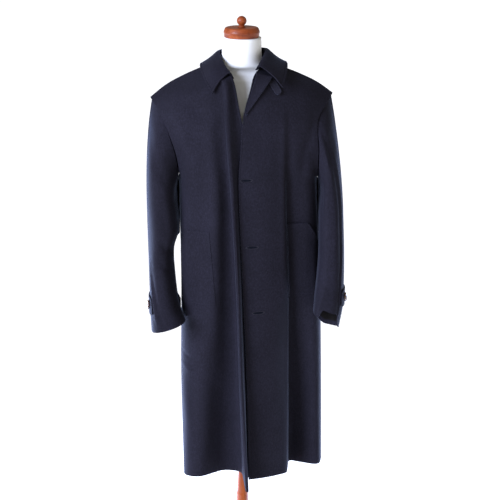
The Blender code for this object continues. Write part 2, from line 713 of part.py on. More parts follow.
def disc(name, centre, axis, radius, thickness, material_name):
    """A button: its back face is centred at this place, and its axis points out."""
    mesh = bpy.data.meshes.new(name)
    shape = bmesh.new()
    bmesh.ops.create_cone(
        shape,
        cap_ends=True,
        segments=16,
        radius1=radius * MM,
        radius2=radius * MM,
        depth=thickness * MM,
    )
    bmesh.ops.translate(shape, verts=shape.verts, vec=(0, 0, thickness / 2 * MM))
    shape.to_mesh(mesh)
    shape.free()
    mesh.materials.append(material(material_name))
    obj = bpy.data.objects.new(name, mesh)
    bpy.data.collections[OBJECT_NAME].objects.link(obj)
    obj.location = Vector(centre) * MM
    obj.rotation_mode = "QUATERNION"
    obj.rotation_quaternion = Vector(axis).to_track_quat("Z", "Y")
    bevel = obj.modifiers.new("edge", "BEVEL")
    bevel.width = 1.0 * MM
    bevel.segments = 1
    return obj


def rounded_profile(radius, top, bottom, edge, steps=2):
    """A disc's outline with its outer edges rounded."""
    upper = [
        (radius - edge + edge * math.sin(a), top - edge + edge * math.cos(a))
        for a in np.linspace(0, math.pi / 2, steps + 1)
    ]
    lower = [
        (radius - edge + edge * math.cos(a), bottom + edge - edge * math.sin(a))
        for a in np.linspace(0, math.pi / 2, steps + 1)
    ]
    return [(0, top), *upper, *lower, (0, bottom)]


def clear_scene():
    for obj in list(bpy.data.objects):
        bpy.data.objects.remove(obj, do_unlink=True)
    collection = bpy.data.collections.new(OBJECT_NAME)
    bpy.context.scene.collection.children.link(collection)


def build_coat():
    right, left = right_front_sheet(), left_front_sheet()
    wall("front_right", trimmed_ends(right, start=0, last=SEAM_GAP), CLOTH)
    wall("front_left", trimmed_ends(left, end=0, last=SEAM_GAP), CLOTH)
    wall("back", trimmed_ends(back_sheet(), last=SEAM_GAP)[:, ::-1], CLOTH)
    for side in ("right", "left"):
        for half in ("front", "back"):
            wall(f"sleeve_{side}_{half}", sleeve_sheet(side, half), CLOTH)
        tab = tab_sheet(side)
        wall(f"cuff_tab_{side}", tab, CUFF_TAB_CLOTH)
        place, axis = facet_middle(tab, CUFF_TAB_COLUMNS - 3 if side == "left" else 1)
        disc(
            f"cuff_button_{side}",
            place + axis * LAID_GAP,
            axis,
            CUFF_BUTTON_RADIUS,
            BUTTON_THICKNESS,
            "horn_button",
        )
    for side, front in (("right", right), ("left", left)):
        patch = patch_sheet(
            front, POCKET_COLUMNS[side], POCKET_BOTTOM[side], outer_first=side == "left"
        )
        wall(f"pocket_{side}", patch, POCKET_CLOTH)
    for number, height in enumerate(FRONT_BUTTON_HEIGHTS, start=1):
        place, axis = facet_at(right, FRONT_BUTTON_X, height, FRONT_BUTTON_RADIUS)
        disc(
            f"front_button_{number}",
            place + axis * LAID_GAP,
            axis,
            FRONT_BUTTON_RADIUS,
            BUTTON_THICKNESS,
            "horn_button",
        )
    wall("collar", collar_sheet(), COLLAR_CLOTH)
    wall("facing_left", facing_sheet(left)[:, ::-1], CLOTH)
    wall("throat_latch", latch_sheet(left), CLOTH)


def build_form():
    angles = -np.arange(FORM_SIDES) / FORM_SIDES * math.tau
    rings = []
    for ring in FORM:
        x = np.sign(np.cos(angles)) * np.abs(np.cos(angles)) ** (2 / ring.power)
        y = np.sign(np.sin(angles)) * np.abs(np.sin(angles)) ** (2 / ring.power)
        middle = (ring.front_y + ring.back_y) / 2
        half = (ring.back_y - ring.front_y) / 2
        half_x = shoulder_half_width(ring.z) if ring.half_x is SHOULDER else ring.half_x
        rings.append(
            np.stack([half_x * x, middle + half * y, np.full(FORM_SIDES, ring.z)], axis=1)
        )
    ring_object("form_torso", rings, "form_cotton")
    turned(
        "neck_cap",
        rounded_profile(CAP_RADIUS, CAP_TOP, CAP_BOTTOM, CAP_EDGE),
        "varnished_wood",
    )
    stem_bottom = CAP_TOP + 0.3
    knob = [
        (KNOB_RADIUS * math.sin(a), KNOB_CENTRE + KNOB_RADIUS * math.cos(a))
        for a in np.linspace(0, math.radians(140), 7)
    ]
    turned(
        "cap_knob",
        [*knob, (6.5, KNOB_CENTRE - 13), (10.5, stem_bottom), (0, stem_bottom)],
        "varnished_wood",
        steps=16,
    )
    turned(
        "stand_pole",
        [
            (0, FORM[0].z - 0.3),
            (POLE_NECK_RADIUS, FORM[0].z - 0.3),
            (POLE_NECK_RADIUS, POLE_TAPER_TOP),
            (POLE_RADIUS - 1.5, POLE_RING_TOP + 9),
            (POLE_RADIUS + 0.6, POLE_RING_TOP),
            (POLE_RADIUS - 0.8, POLE_RING_TOP - 4),
            (POLE_RADIUS, POLE_RING_TOP - 8),
            (POLE_RADIUS, BASE_HEIGHT + 0.3),
            (0, BASE_HEIGHT + 0.3),
        ],
        "varnished_wood",
    )
    turned(
        "stand_base",
        rounded_profile(BASE_RADIUS, BASE_HEIGHT, 0, 9),
        "varnished_wood",
    )


def build():
    clear_scene()
    build_coat()
    build_form()


build()
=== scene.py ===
import logging
import math
from dataclasses import dataclass, field
from enum import Enum
from typing import Any, Iterable, Sequence

import bpy
import numpy as np
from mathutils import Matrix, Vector


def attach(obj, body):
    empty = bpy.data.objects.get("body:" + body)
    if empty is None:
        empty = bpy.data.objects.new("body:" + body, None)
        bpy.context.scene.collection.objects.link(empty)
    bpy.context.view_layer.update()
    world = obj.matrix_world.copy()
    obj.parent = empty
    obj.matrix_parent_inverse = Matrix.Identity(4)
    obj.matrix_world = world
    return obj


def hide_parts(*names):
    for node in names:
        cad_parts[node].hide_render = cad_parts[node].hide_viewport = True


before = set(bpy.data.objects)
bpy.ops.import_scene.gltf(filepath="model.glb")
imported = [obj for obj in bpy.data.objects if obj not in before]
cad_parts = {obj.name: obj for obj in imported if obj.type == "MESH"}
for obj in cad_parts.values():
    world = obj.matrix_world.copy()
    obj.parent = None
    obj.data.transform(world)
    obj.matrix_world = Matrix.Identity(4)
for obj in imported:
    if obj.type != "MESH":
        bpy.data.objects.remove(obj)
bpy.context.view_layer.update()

log = logging.getLogger("overcoat")
logging.basicConfig(level=logging.INFO, format="%(name)s: %(message)s")

MM = 0.001
FAR = 1e9
Array = np.ndarray
Row = Sequence[float]
Line = tuple[np.ndarray, np.ndarray]
Material = bpy.types.Material
Object = bpy.types.Object


class Side(Enum):
    """The wearer's right or left, as the sign of X on which it lies."""

    RIGHT = -1
    LEFT = 1

    @property
    def word(self) -> str:
        """The side's name in lower case, as piece names use it."""
        return self.name.lower()


class Half(Enum):
    """A sleeve's front or back half, as the sign of Y towards which it faces."""

    FRONT = -1
    BACK = 1

    @property
    def word(self) -> str:
        """The half's name in lower case, as piece names use it."""
        return self.name.lower()


# ---- the coat's measures

CLOTH = 2.5
COLLAR_CLOTH = 3.0
SEAM_GAP = 0.3

# Each front from its free edge to its side, as pairs of x, y under two heights: the
# edge's and the side's. Columns: edge, lap, nose, foot, hollow, crown, flank, side.
RIGHT_HEIGHTS = ((288, 298), (600, 600), (850, 845), (1130, 1110), (1235, 1165),
                 (1335, 1225), (1431, 1300), (1442, 1338), (1462, 1366))
RIGHT_FOLDS = (
    (46, -103, 15, -107, 15, -168, -1, -61, -50, -56, -122, -112, -166, -92, -165, 12),
    (44, -110, 9, -114, -2, -158, -9, -84, -44, -84, -95, -123, -171, -88, -171, 10),
    (40, -116, 1, -120, -10, -153, -16, -104, -43, -104, -75, -132, -167, -84, -170, 8),
    (34, -122, -6, -124, -25, -150, -31, -120, -49, -122, -70, -136, -164, -90, -174, 4),
    (18, -125, -8, -126, -32, -147, -38, -127, -56, -127, -78, -136, -156, -102, -171, -58),
    (-2, -123, -14, -124, -38, -140, -44, -126, -62, -124, -86, -127, -158, -100, -179, -78),
    (-22, -100, -28, -104, -43, -118, -50, -111, -70, -110, -98, -108, -168, -92, -206, -70),
    (-50, -78, -56, -80, -66, -82, -76, -82, -100, -80, -134, -74, -186, -64, -226, -46),
    (-78, 2, -84, 2, -92, 2, -100, 1, -120, 1, -150, 0, -205, -1, -250, -2),
)
NOSE_WIDTH = 9.0
# How much higher the hem hangs at each of these folds than its ends' heights make it.
RIGHT_HEM_LIFT = (10, 10, -12, 6, 9, 4, 0, 0)

# Columns: edge, chest, crest, valley, flank, side.
LEFT_HEIGHTS = ((294, 303), (600, 600), (850, 845), (1130, 1110), (1235, 1165),
                (1335, 1235), (1400, 1312), (1448, 1352), (1462, 1378))
LEFT_FOLDS = (
    (19, -118, 75, -103, 128, -74, 134, 24, 222, -30, 229, 34),
    (13, -125, 72, -112, 128, -84, 133, -16, 218, -46, 225, 22),
    (3, -130, 66, -121, 126, -96, 131, -60, 212, -62, 219, 12),
    (-8, -134, 60, -128, 116, -110, 122, -92, 200, -74, 207, 4),
    (-3, -133, 58, -129, 112, -116, 124, -108, 190, -84, 207, -58),
    (5, -129, 58, -124, 108, -114, 126, -108, 176, -90, 208, -76),
    (22, -115, 64, -109, 108, -100, 130, -94, 176, -82, 206, -66),
    (38, -90, 74, -80, 112, -70, 134, -64, 184, -54, 228, -42),
    (78, 2, 98, 2, 122, 1, 150, 0, 204, -1, 248, -2),
)

# The back, as one half. Columns: middle's height and y, then x, y of nape, blade, flank.
BACK_FOLDS = (
    (300, 150, 62, 151, 136, 138, 207, 98),
    (600, 147, 62, 148, 136, 134, 206, 94),
    (850, 142, 62, 143, 134, 130, 206, 88),
    (1130, 137, 60, 137, 132, 124, 217, 84),
    (1235, 136, 58, 135, 124, 120, 186, 94),
    (1325, 124, 58, 122, 118, 112, 162, 94),
    (1400, 101, 58, 98, 120, 88, 168, 80),
    (1448, 78, 60, 66, 124, 56, 184, 48),
    (1470, 64, 62, 40, 128, 2, 206, 2),
)
PANELS = {Side.RIGHT: (RIGHT_HEIGHTS, RIGHT_FOLDS), Side.LEFT: (LEFT_HEIGHTS, LEFT_FOLDS)}
LAST_LEVEL = 8
UNDERARM_LEVEL = 3
# The share of the shoulder's fall that is straight, and the power of the late rest.
SHOULDER_STRAIGHT = 0.75
SHOULDER_TIP_POWER = 5

# Rings of each sleeve: height, rise to the body's side, outer x, inner x, front y, back y.
SLEEVE_RINGS: dict[Side, tuple[Row, ...]] = {
    Side.RIGHT: ((1052, 0, -261, -175, -114, 56), (1002, 0, -260, -174, -114, 52),
                 (946, 0, -259, -188, -108, 50), (862, 4, -256, -184, -120, 26),
                 (792, 14, -253, -173, -144, -20), (737, 29, -248, -155, -170, -66)),
    Side.LEFT: ((1052, 0, 279, 211, -110, 56), (955, 0, 281, 211, -134, 18),
                (870, 6, 280, 206, -154, -26), (812, 20, 278, 200, -166, -50),
                (748, 44, 266, 196, -170, -70)),
}
# How square a ring is on its outer side and on its side towards the body.
RING_POWER = 2.3
INNER_POWER = {Side.RIGHT: 2.3, Side.LEFT: 3.2}

# The crumpled left cuff, pushed up in front and let down behind: share of the way from
# the outer to the inner seam, and the lift.
LEFT_CUFF: dict[Half, tuple[Row, ...]] = {
    Half.FRONT: ((0.0, 0), (0.12, 3), (0.22, 14), (0.29, 38), (0.57, 30), (0.68, 2), (1, 0)),
    Half.BACK: ((0.0, 0), (0.12, -6), (0.25, -13), (0.5, -25), (0.62, -20), (0.8, -4), (1, 0)),
}
CUFF_ROWS = 20

# A sleeve's head: how far it tucks under the shoulder inwards, in depth and down, the
# share of its width over which the tuck ends, how fast its depth sets in from there and
# from the seam, and its gap to the armhole at the outer seam with what the inner adds.
SLEEVE_TUCK = (5.0, 3.7, 0.6)
TUCK_WIDTH = 0.45
TUCK_SLOPES = (4, 8)
ARMHOLE_GAP = (1.2, 1.6)
# The way in which the head leaves the armhole: outwards at the seams, what its middle
# adds, and its middle's parts in depth and upwards. The ring row that it heads for.
HEAD_WAY = (0.16, 0.30, 0.28, 0.20)
HEAD_TARGET = 4
HEAD_ROWS = 50
SLEEVE_SEAM_GAP = 0.6
UNDERARM_GAP = 0.8

# A sleeve's swelling against the coat: its reach past the coat's side, the gap over
# which it sets in, the gap at which it ends and how fast, and its height at the armhole.
# The bell's centre and width, as shares of the sleeve's width, each with its change
# from the cuff to the armhole.
TOUCH_REACH = 1.6
TOUCH_START = 1.5
TOUCH_END = 8.0
TOUCH_FADE = 3.0
TOUCH_HEAD = 1.5
TOUCH_CENTRE = (0.952, -0.03)
TOUCH_WIDTH = (0.027, 0.05)

# The back's neckline: half width, y at its ends, depth, the two powers of its oval and
# the rise in its middle. The level from which the back is led to it and the shoulders.
NECK_HALF = 78.0
NECK_END_Y = 4.0
NECK_DEPTH = 54.0
NECK_POWERS = (2.4, 0.8)
NECK_RISE = 3.0
SHOULDER_FADE = 6.9

# Stations of the collar round the neck: base, fold and leaf edge, and the leaf's arch.
COLLAR_STATIONS = (
    (-20, -92, 1434, -28, -98, 1449, -78, -124, 1397, 6),
    (-44, -66, 1447, -45, -66, 1469, -99, -84, 1426, 9),
    (-72, 0, 1464, -57, 0, 1491, -114, 0, 1455, -1),
    (-55, 38, 1468, -46, 38, 1493, -96, 66, 1447, -2),
    (0, 58, 1473, 0, 56, 1499, 0, 98, 1440, 4),
    (55, 38, 1468, 50, 38, 1497, 102, 64, 1451, -2),
    (72, 0, 1464, 63, 0, 1498, 123, -2, 1462, -4),
    (48, -58, 1455, 52, -60, 1481, 121, -66, 1440, 1),
    (36, -80, 1454, 43, -91, 1467, 110, -112, 1412, 5),
)
# The rolled fold's width and fall, and the share of the leaf's arch that goes outwards.
FOLD_WIDTH = 9.5
FOLD_FALL = 1.5
LEAF_ARCH_OUT = 0.6
# The dip of the collar's base at its right front: depth, station and width.
COLLAR_DIP = (9.0, 0.8, 0.6)

# The form's rings: height, half width, front y, back y and squareness.
FORM_RINGS = (
    (762, 128, -84, 98, 2.1), (772, 134, -90, 104, 2.1), (860, 146, -94, 112, 2.1),
    (1000, 134, -90, 102, 2.1), (1150, 146, -104, 112, 2.2), (1250, 156, -106, 110, 2.2),
    (1330, 162, -92, 94, 2.1), (1375, 170, -70, 70, 1.9), (1400, 172, -56, 56, 1.6),
    (1416, 154, -48, 42, 1.5), (1432, 132, -34, 32, 1.2), (1444, 100, -34, 36, 1.2),
    (1453, 80, -48, 46, 1.6), (1463, 60, -52, 51, 2.0), (1480, 54.5, -53, 53, 2.0),
    (1529, 53, -53, 53, 2.0),
)


# ---- curves and sheets

# Steps in a straight and in a round between two of them, and the share of a straight
# that the round at its end may take.
STRAIGHT_STEPS = 12
ROUND_STEPS = 10
ROUND_ROOM = 0.48
# How bluntly a crease's height starts at its ends.
END_POWER = 0.7


def spline(rows: Array, at: Array) -> Array:
    """Catmull-Rom curve through the rows of a table.

    Between two rows the value is the cubic that passes both and leaves each along the
    chord of its neighbours.

    Args:
        rows: (n, k) table.
        at: places along it, where 0 is the first row and n - 1 the last.

    Returns:
        (len(at), k) values.
    """
    rows = np.asarray(rows, float)
    padded = np.vstack([2 * rows[0] - rows[1], rows, 2 * rows[-1] - rows[-2]])
    first = np.clip(np.floor(at).astype(int), 0, len(rows) - 2)
    t = (np.asarray(at) - first)[:, None]
    before, start, end, after = (padded[first + k] for k in range(4))
    return 0.5 * (
        2 * start
        + (end - before) * t
        + (2 * before - 5 * start + 4 * end - after) * t**2
        + (3 * start - before - 3 * end + after) * t**3
    )


def unit(vectors: Array) -> Array:
    """The vectors along the last axis, each brought to length one."""
    return vectors / np.linalg.norm(vectors, axis=-1, keepdims=True)


def run_of(line: Array) -> Array:
    """Distance of each point of a line from the first, along the line."""
    return np.concatenate([[0], np.cumsum(np.linalg.norm(np.diff(line, axis=0), axis=1))])


def read_at(places: Any, rows: Array, table: Array) -> Array:
    """Reads each column of a table, straight from row to row, at these places.

    Args:
        places: where to read, one place or a line of them.
        rows: the place of each row.
        table: (rows, k) values.

    Returns:
        (k,) values for one place, or (places, k).
    """
    return np.stack([np.interp(places, rows, column) for column in table.T], axis=-1)


def squared_off(wave: Array, power: Any) -> Array:
    """A sine or cosine to a power under one, its sign kept, which fills an oval's corners."""
    return np.sign(wave) * np.abs(wave) ** power


def rounded_paths(points: Array, reach: Row) -> Array:
    """Turns each row of fold points into a path that rounds every inner point.

    A round is the quadratic curve from so far before the point to as far after it.

    Args:
        points: (rows, n, 3) fold points.
        reach: for each inner point, how far before and after it the round starts.

    Returns:
        (rows, m, 3) paths.
    """
    sides = np.linalg.norm(np.diff(points, axis=1), axis=2)
    pieces = [points[:, :1]]
    last = points[:, 0]
    run = np.linspace(0, 1, STRAIGHT_STEPS + 1)[1:, None, None]
    t = np.linspace(0, 1, ROUND_STEPS + 1)[1:, None, None]
    for k in range(1, points.shape[1] - 1):
        here = points[:, k]
        room = ROUND_ROOM * np.minimum(sides[:, k - 1], sides[:, k])
        cut = np.minimum(room, reach[k - 1])[:, None]
        start = here + (points[:, k - 1] - here) * cut / sides[:, k - 1][:, None]
        end = here + (points[:, k + 1] - here) * cut / sides[:, k][:, None]
        pieces.append((last + (start - last) * run).transpose(1, 0, 2))
        arc = start * (1 - t) ** 2 + 2 * here * t * (1 - t) + end * t**2
        pieces.append(arc.transpose(1, 0, 2))
        last = end
    pieces.append((last + (points[:, -1] - last) * run).transpose(1, 0, 2))
    return np.concatenate(pieces, axis=1)


def lengths_along(grid: Array, axis: int) -> Array:
    """Distance from the first point of each line of a sheet along one axis of it.

    Args:
        grid: (rows, columns, 3) sheet.
        axis: 0 measures up the columns, 1 along the rows.

    Returns:
        (rows, columns) distances in mm.
    """
    steps = np.linalg.norm(np.diff(grid, axis=axis), axis=2)
    zero = np.zeros_like(np.take(steps, [0], axis=axis))
    return np.concatenate([zero, np.cumsum(steps, axis=axis)], axis=axis)


def respaced(grid: Array, axis: int, spacing: float, start: Row = (), end: Row = ()) -> Array:
    """The same sheet with its points placed anew along one axis.

    Args:
        grid: (rows, columns, 3) sheet.
        axis: 0 moves the rows, 1 the columns.
        spacing: about how far apart the points lie, in mm.
        start: extra distances from the first edge that get a point each.
        end: the same from the last edge.

    Returns:
        The sheet, with the number of points along the axis that the spacing gives.
    """
    lines = np.moveaxis(grid, axis, 1)
    run = lengths_along(lines, 1)
    total = run[:, -1:]
    near, far = np.array([0.0, *start]), np.array([0.0, *end])[::-1]
    count = max(2, round(float(total.mean() - near[-1] - far[0]) / spacing))
    share = (np.arange(1, count) / count)[None, :]
    middle = near[-1] + (total - near[-1] - far[0]) * share
    ones = np.ones_like(total)
    places = np.concatenate([ones * near, middle, total - ones * far], axis=1)
    new = np.stack([read_at(p, r, line) for p, r, line in zip(places, run, lines)])
    return np.moveaxis(new, 1, axis)


def sheet_normals(grid: Array) -> Array:
    """Outward normals: rows go up, and seen from outside each row runs leftwards."""
    normal = np.cross(np.gradient(grid, axis=0), np.gradient(grid, axis=1))
    return normal / np.maximum(np.linalg.norm(normal, axis=2, keepdims=True), 1e-12)


def drawn_in(grid: Array, bottom: float, top: float, first: Any, last: Any) -> Array:
    """The sheet with its four edges moved inwards.

    Args:
        grid: (rows, columns, 3) sheet.
        bottom: gap at its first row, in mm.
        top: gap at its last row.
        first: gap at its first column, one or one for each row.
        last: the same at its last column.

    Returns:
        The sheet, of the same shape.
    """
    grid = grid.copy()

    def moved(edge: Array, inner: Array, gap: Any) -> Array:
        """The edge, moved so far towards the line next to it."""
        way = inner - edge
        return edge + way * gap / np.linalg.norm(way, axis=-1, keepdims=True)

    grid[:, 0] = moved(grid[:, 0], grid[:, 1], first)
    grid[:, -1] = moved(grid[:, -1], grid[:, -2], last)
    grid[0] = moved(grid[0], grid[1], bottom)
    grid[-1] = moved(grid[-1], grid[-2], top)
    return grid


@dataclass(frozen=True)
class Crease:
    """A soft ridge, or with a negative height a trough, along a line of points.

    Points are in the plane that the sheet is read in, in mm. The height falls away from
    the line as a bell of this half width, and to nothing at both ends.
    """

    points: tuple[tuple[float, float], ...]
    height: float
    width: float

    def field(self, plane: Array) -> Array:
        """Height at each point of the plane.

        Args:
            plane: (..., 2) places.

        Returns:
            Heights in mm, in the plane's shape.
        """
        line = np.array(self.points, float)
        steps = np.linalg.norm(np.diff(line, axis=0), axis=1)
        run = run_of(line)
        nearest = np.full(plane.shape[:-1], FAR)
        share = np.zeros(plane.shape[:-1])
        for a, b, length, before in zip(line[:-1], line[1:], steps, run):
            t = np.clip(((plane - a) @ (b - a)) / length**2, 0, 1)
            gap = np.linalg.norm(plane - a - t[..., None] * (b - a), axis=-1)
            closer = gap < nearest
            nearest = np.where(closer, gap, nearest)
            share = np.where(closer, (before + t * length) / run[-1], share)
        ends = np.sin(math.pi * np.clip(share, 0, 1)) ** END_POWER
        return self.height * np.exp(-((nearest / self.width) ** 2)) * ends


@dataclass(frozen=True)
class Unevenness:
    """The faint waves of hung cloth: the product of two sines.

    The first runs across with tilted or swinging crests, the second runs up with slanted
    ones. Every length is in mm of the plane for one radian.
    """

    height: float
    across: float
    along: float
    slant: float
    tilt: float = math.inf
    swing: float = 0.0
    swing_length: float = 1.0

    def field(self, plane: Array) -> Array:
        """Height at each point of the plane.

        Args:
            plane: (..., 2) places.

        Returns:
            Heights in mm, in the plane's shape.
        """
        x, z = plane[..., 0], plane[..., 1]
        swung = x / self.across + z / self.tilt + self.swing * np.sin(z / self.swing_length)
        return self.height * np.sin(swung) * np.sin(z / self.along + x / self.slant)


PANEL_WAVES = (Unevenness(0.5, 31, 143, 61, swing=1.3, swing_length=97),
               Unevenness(0.25, 13, 37, -53, tilt=71))
SLEEVE_WAVES = (Unevenness(0.7, 17, 63, 47, swing=0.9, swing_length=41),)


def relief(plane: Array, waves: Iterable[Crease | Unevenness]) -> Array:
    """Height of creases and waves together.

    Args:
        plane: (rows, columns, 2) place of each point in their plane.
        waves: the ridges, troughs and waves.

    Returns:
        (rows, columns) heights in mm.
    """
    height = np.zeros(plane.shape[:-1])
    for wave in waves:
        height += wave.field(plane)
    return height


# ---- meshes

# Edges of more than this many degrees get rounded.
EDGE_ANGLE = 55


def quads(rows: int, columns: int, round_it: bool = False) -> Array:
    """Corner numbers of a sheet's quads, wound so that they face outwards.

    Args:
        rows: points going up.
        columns: points along a row.
        round_it: True joins the last column to the first.

    Returns:
        (n, 4) indices.
    """
    row, column = np.meshgrid(
        np.arange(rows - 1), np.arange(columns if round_it else columns - 1), indexing="ij"
    )
    after = (column + 1) % columns
    corners = (
        row * columns + column,
        (row + 1) * columns + column,
        (row + 1) * columns + after,
        row * columns + after,
    )
    return np.stack(corners, axis=-1).reshape(-1, 4)


def mesh_piece(
    name: str,
    points: Array,
    faces: Sequence[Any],
    materials: Sequence[Material],
    indices: Array | None = None,
) -> Object:
    """Makes one object from points in mm and faces.

    Args:
        name: the piece's name.
        points: (n, 3) places in mm.
        faces: index lists, or an (m, 4) or (m, 3) array.
        materials: its materials in order.
        indices: each face's material number.

    Returns:
        The object, at the origin, shaded smooth.
    """
    mesh = bpy.data.meshes.new(name)
    listed = faces.tolist() if isinstance(faces, np.ndarray) else faces
    mesh.from_pydata((np.asarray(points) * MM).tolist(), [], listed)
    for material in materials:
        mesh.materials.append(material)
    if indices is not None:
        mesh.polygons.foreach_set("material_index", np.asarray(indices, np.int32))
    mesh.shade_smooth()
    mesh.update()
    obj = bpy.data.objects.new(name, mesh)
    bpy.context.scene.collection.objects.link(obj)
    return obj


def dress(obj: Object, slot: str, *nodes: str) -> Object:
    """Lets a piece ride the coat's one body and stand for CAD nodes.

    Args:
        obj: the piece.
        slot: not used.
        nodes: the CAD nodes that it replaces.

    Returns:
        The same piece.
    """
    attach(obj, "root")
    if nodes:
        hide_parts(*nodes)
    log.info("%s: %d points", obj.name, len(obj.data.vertices))
    return obj


def cloth_piece(
    name: str,
    grid: Array,
    thickness: float,
    materials: Sequence[Material],
    facing: Row = (0, 0, 0, 0),
    edge: float = 0.8,
) -> Object:
    """A sheet of cloth with its thickness behind it and its edges rounded.

    The face is the first material. Behind a lined sheet, strips along the edges show the
    third, which is the turned-back cloth, and the rest the second, which is the lining.
    The rim takes the last, a lighter wool painted as a highlight.

    Args:
        name: the piece's name.
        grid: (rows, columns, 3) outer face in mm.
        thickness: the cloth's, in mm.
        materials: wool, lining, turned-back wool and edge, a lighter wool painted as a highlight,
            or one for all of it.
        facing: widths of the turned-back strips: bottom, top, first and last column.
        edge: radius of the rounded edge, in mm.

    Returns:
        The object.
    """
    rows, columns = grid.shape[:2]
    indices = None
    lined = len(materials) > 2
    if lined:
        across, up = lengths_along(grid, 1), lengths_along(grid, 0)
        turned = (
            (up < facing[0])
            | (up[-1:] - up < facing[1])
            | (across < facing[2])
            | (across[:, -1:] - across < facing[3])
        )
        indices = np.where(turned[:-1, :-1].reshape(-1), 2, 0)
        materials = [materials[0], materials[1], materials[0], *materials[2:]]
    obj = mesh_piece(name, grid.reshape(-1, 3), quads(rows, columns), materials, indices)
    solid = obj.modifiers.new("thickness", "SOLIDIFY")
    solid.thickness = thickness * MM
    solid.offset = -1.0
    solid.material_offset = 1 if lined else 0
    # The rim takes the last material; on lined pieces that is the lighter edge wool, a painted
    # highlight along the cut edges.
    solid.material_offset_rim = len(materials) - 1
    bevel = obj.modifiers.new("edge", "BEVEL")
    bevel.width = edge * MM
    bevel.segments = 2
    bevel.limit_method = "ANGLE"
    bevel.angle_limit = math.radians(EDGE_ANGLE)
    bevel.harden_normals = False
    return obj


def declare_cloth(
    grid: Array,
) -> None:
    """Works out a cloth piece's area and the size that it is cut to, measured on its sheet; the
    results are not used.

    Args:
        grid: (rows, columns, 3) sheet that it was made from, in mm.
    """
    a, b = np.diff(grid, axis=0)[:, :-1], np.diff(grid, axis=1)[:-1]
    area = float(np.linalg.norm(np.cross(a, b), axis=2).sum()) * MM**2
    width = float(lengths_along(grid, 1)[:, -1].max()) * MM
    length = float(lengths_along(grid, 0)[-1].max()) * MM
    area = min(area, width * length)


def inset_line(grid: Array, edge: str, inset: float) -> Line:
    """The line that runs so far inside one edge of a sheet.

    Args:
        grid: (rows, columns, 3) sheet.
        edge: "first" or "last" column, "bottom" or "top" row.
        inset: how far inside, in mm, along the cloth.

    Returns:
        The line's points and the sheet's normals there.
    """
    both = np.concatenate([grid, sheet_normals(grid)], axis=2)
    if edge in ("bottom", "top"):
        both = both.transpose(1, 0, 2)
    if edge in ("last", "top"):
        both = both[:, ::-1]
    run = lengths_along(both[..., :3], 1)
    line = np.stack([read_at(inset, r, row) for r, row in zip(run, both)])
    return line[:, :3], line[:, 3:]


@dataclass(frozen=True)
class Stitching:
    """A row of stitches: each a small capsule of thread that dips in at both ends.

    Its rings of points lie at these places from end to end, with these shares of the
    radius, and sink from the middle with the square of the place.
    """

    length: float = 3.2
    gap: float = 1.1
    radius: float = 0.32
    lift: float = 0.12
    places: Row = (-1, -0.72, 0, 0.72, 1)
    shares: Row = (0.25, 0.8, 1, 0.8, 0.25)
    sink: float = 1.6

    def mesh(self, lines: Sequence[Line]) -> tuple[Array, Array]:
        """Points and faces of all stitches along some lines.

        Each stitch is a tube of five rings of six points whose radius follows half an
        ellipse, and whose middle stands proud of the cloth. Two quads close each end.

        Args:
            lines: (points, normals) of each line.

        Returns:
            Points in mm and quads.
        """
        sides = 6
        angle = np.arange(sides) / sides * math.tau
        along, share = np.array(self.places), np.array(self.shares)
        ring = np.stack(
            [
                np.repeat(along, sides) * self.length / 2,
                np.outer(share, np.cos(angle)).ravel() * self.radius,
                np.outer(share, np.sin(angle)).ravel() * self.radius
                + np.repeat(self.lift * (1 - self.sink * along**2), sides),
            ],
            axis=1,
        )
        ends = np.array([[0, 1, 2, 3], [0, 3, 4, 5], [27, 26, 25, 24], [29, 28, 27, 24]])
        shape = np.concatenate([quads(len(along), sides, round_it=True), ends])
        points, faces, count = [], [], 0
        for line, normal in lines:
            run = run_of(line)
            number = max(1, int((run[-1] - self.gap) / (self.length + self.gap)))
            place = (np.arange(number) + 0.5) * run[-1] / number
            up = unit(read_at(place, run, normal))
            way = read_at(place, run, np.gradient(line, run, axis=0))
            way = unit(way - up * (way * up).sum(1, keepdims=True))
            frames = np.stack([way, np.cross(up, way), up], axis=1)
            made = read_at(place, run, line)[:, None] + np.einsum("pk,nkd->npd", ring, frames)
            points.append(made.reshape(-1, 3))
            start = count + len(ring) * np.arange(number)
            faces.append((start[:, None, None] + shape).reshape(-1, 4))
            count += len(ring) * number
        return np.concatenate(points), np.concatenate(faces)


def stitched(
    name: str, lines: Sequence[Line], thread: Material
) -> Object:
    """One object that holds all the stitches along some lines of a piece."""
    points, faces = Stitching().mesh(lines)
    return dress(mesh_piece(name, points, faces, [thread]), "navy_wool")


# ---- shader building


class Signal:
    """A shader socket whose arithmetic adds Math nodes."""

    def __init__(self, graph: "Graph", socket: bpy.types.NodeSocket) -> None:
        """Wraps one output socket of a graph."""
        self.graph = graph
        self.socket = socket

    def _math(self, operation: str, other: Any) -> "Signal":
        """One Math node on this signal and another one or a number."""
        return self.graph.node("ShaderNodeMath", {"operation": operation}, {0: self, 1: other})

    def __add__(self, other: Any) -> "Signal":
        """Sum."""
        return self._math("ADD", other)

    __radd__ = __add__

    def __mul__(self, other: Any) -> "Signal":
        """Product."""
        return self._math("MULTIPLY", other)

    __rmul__ = __mul__


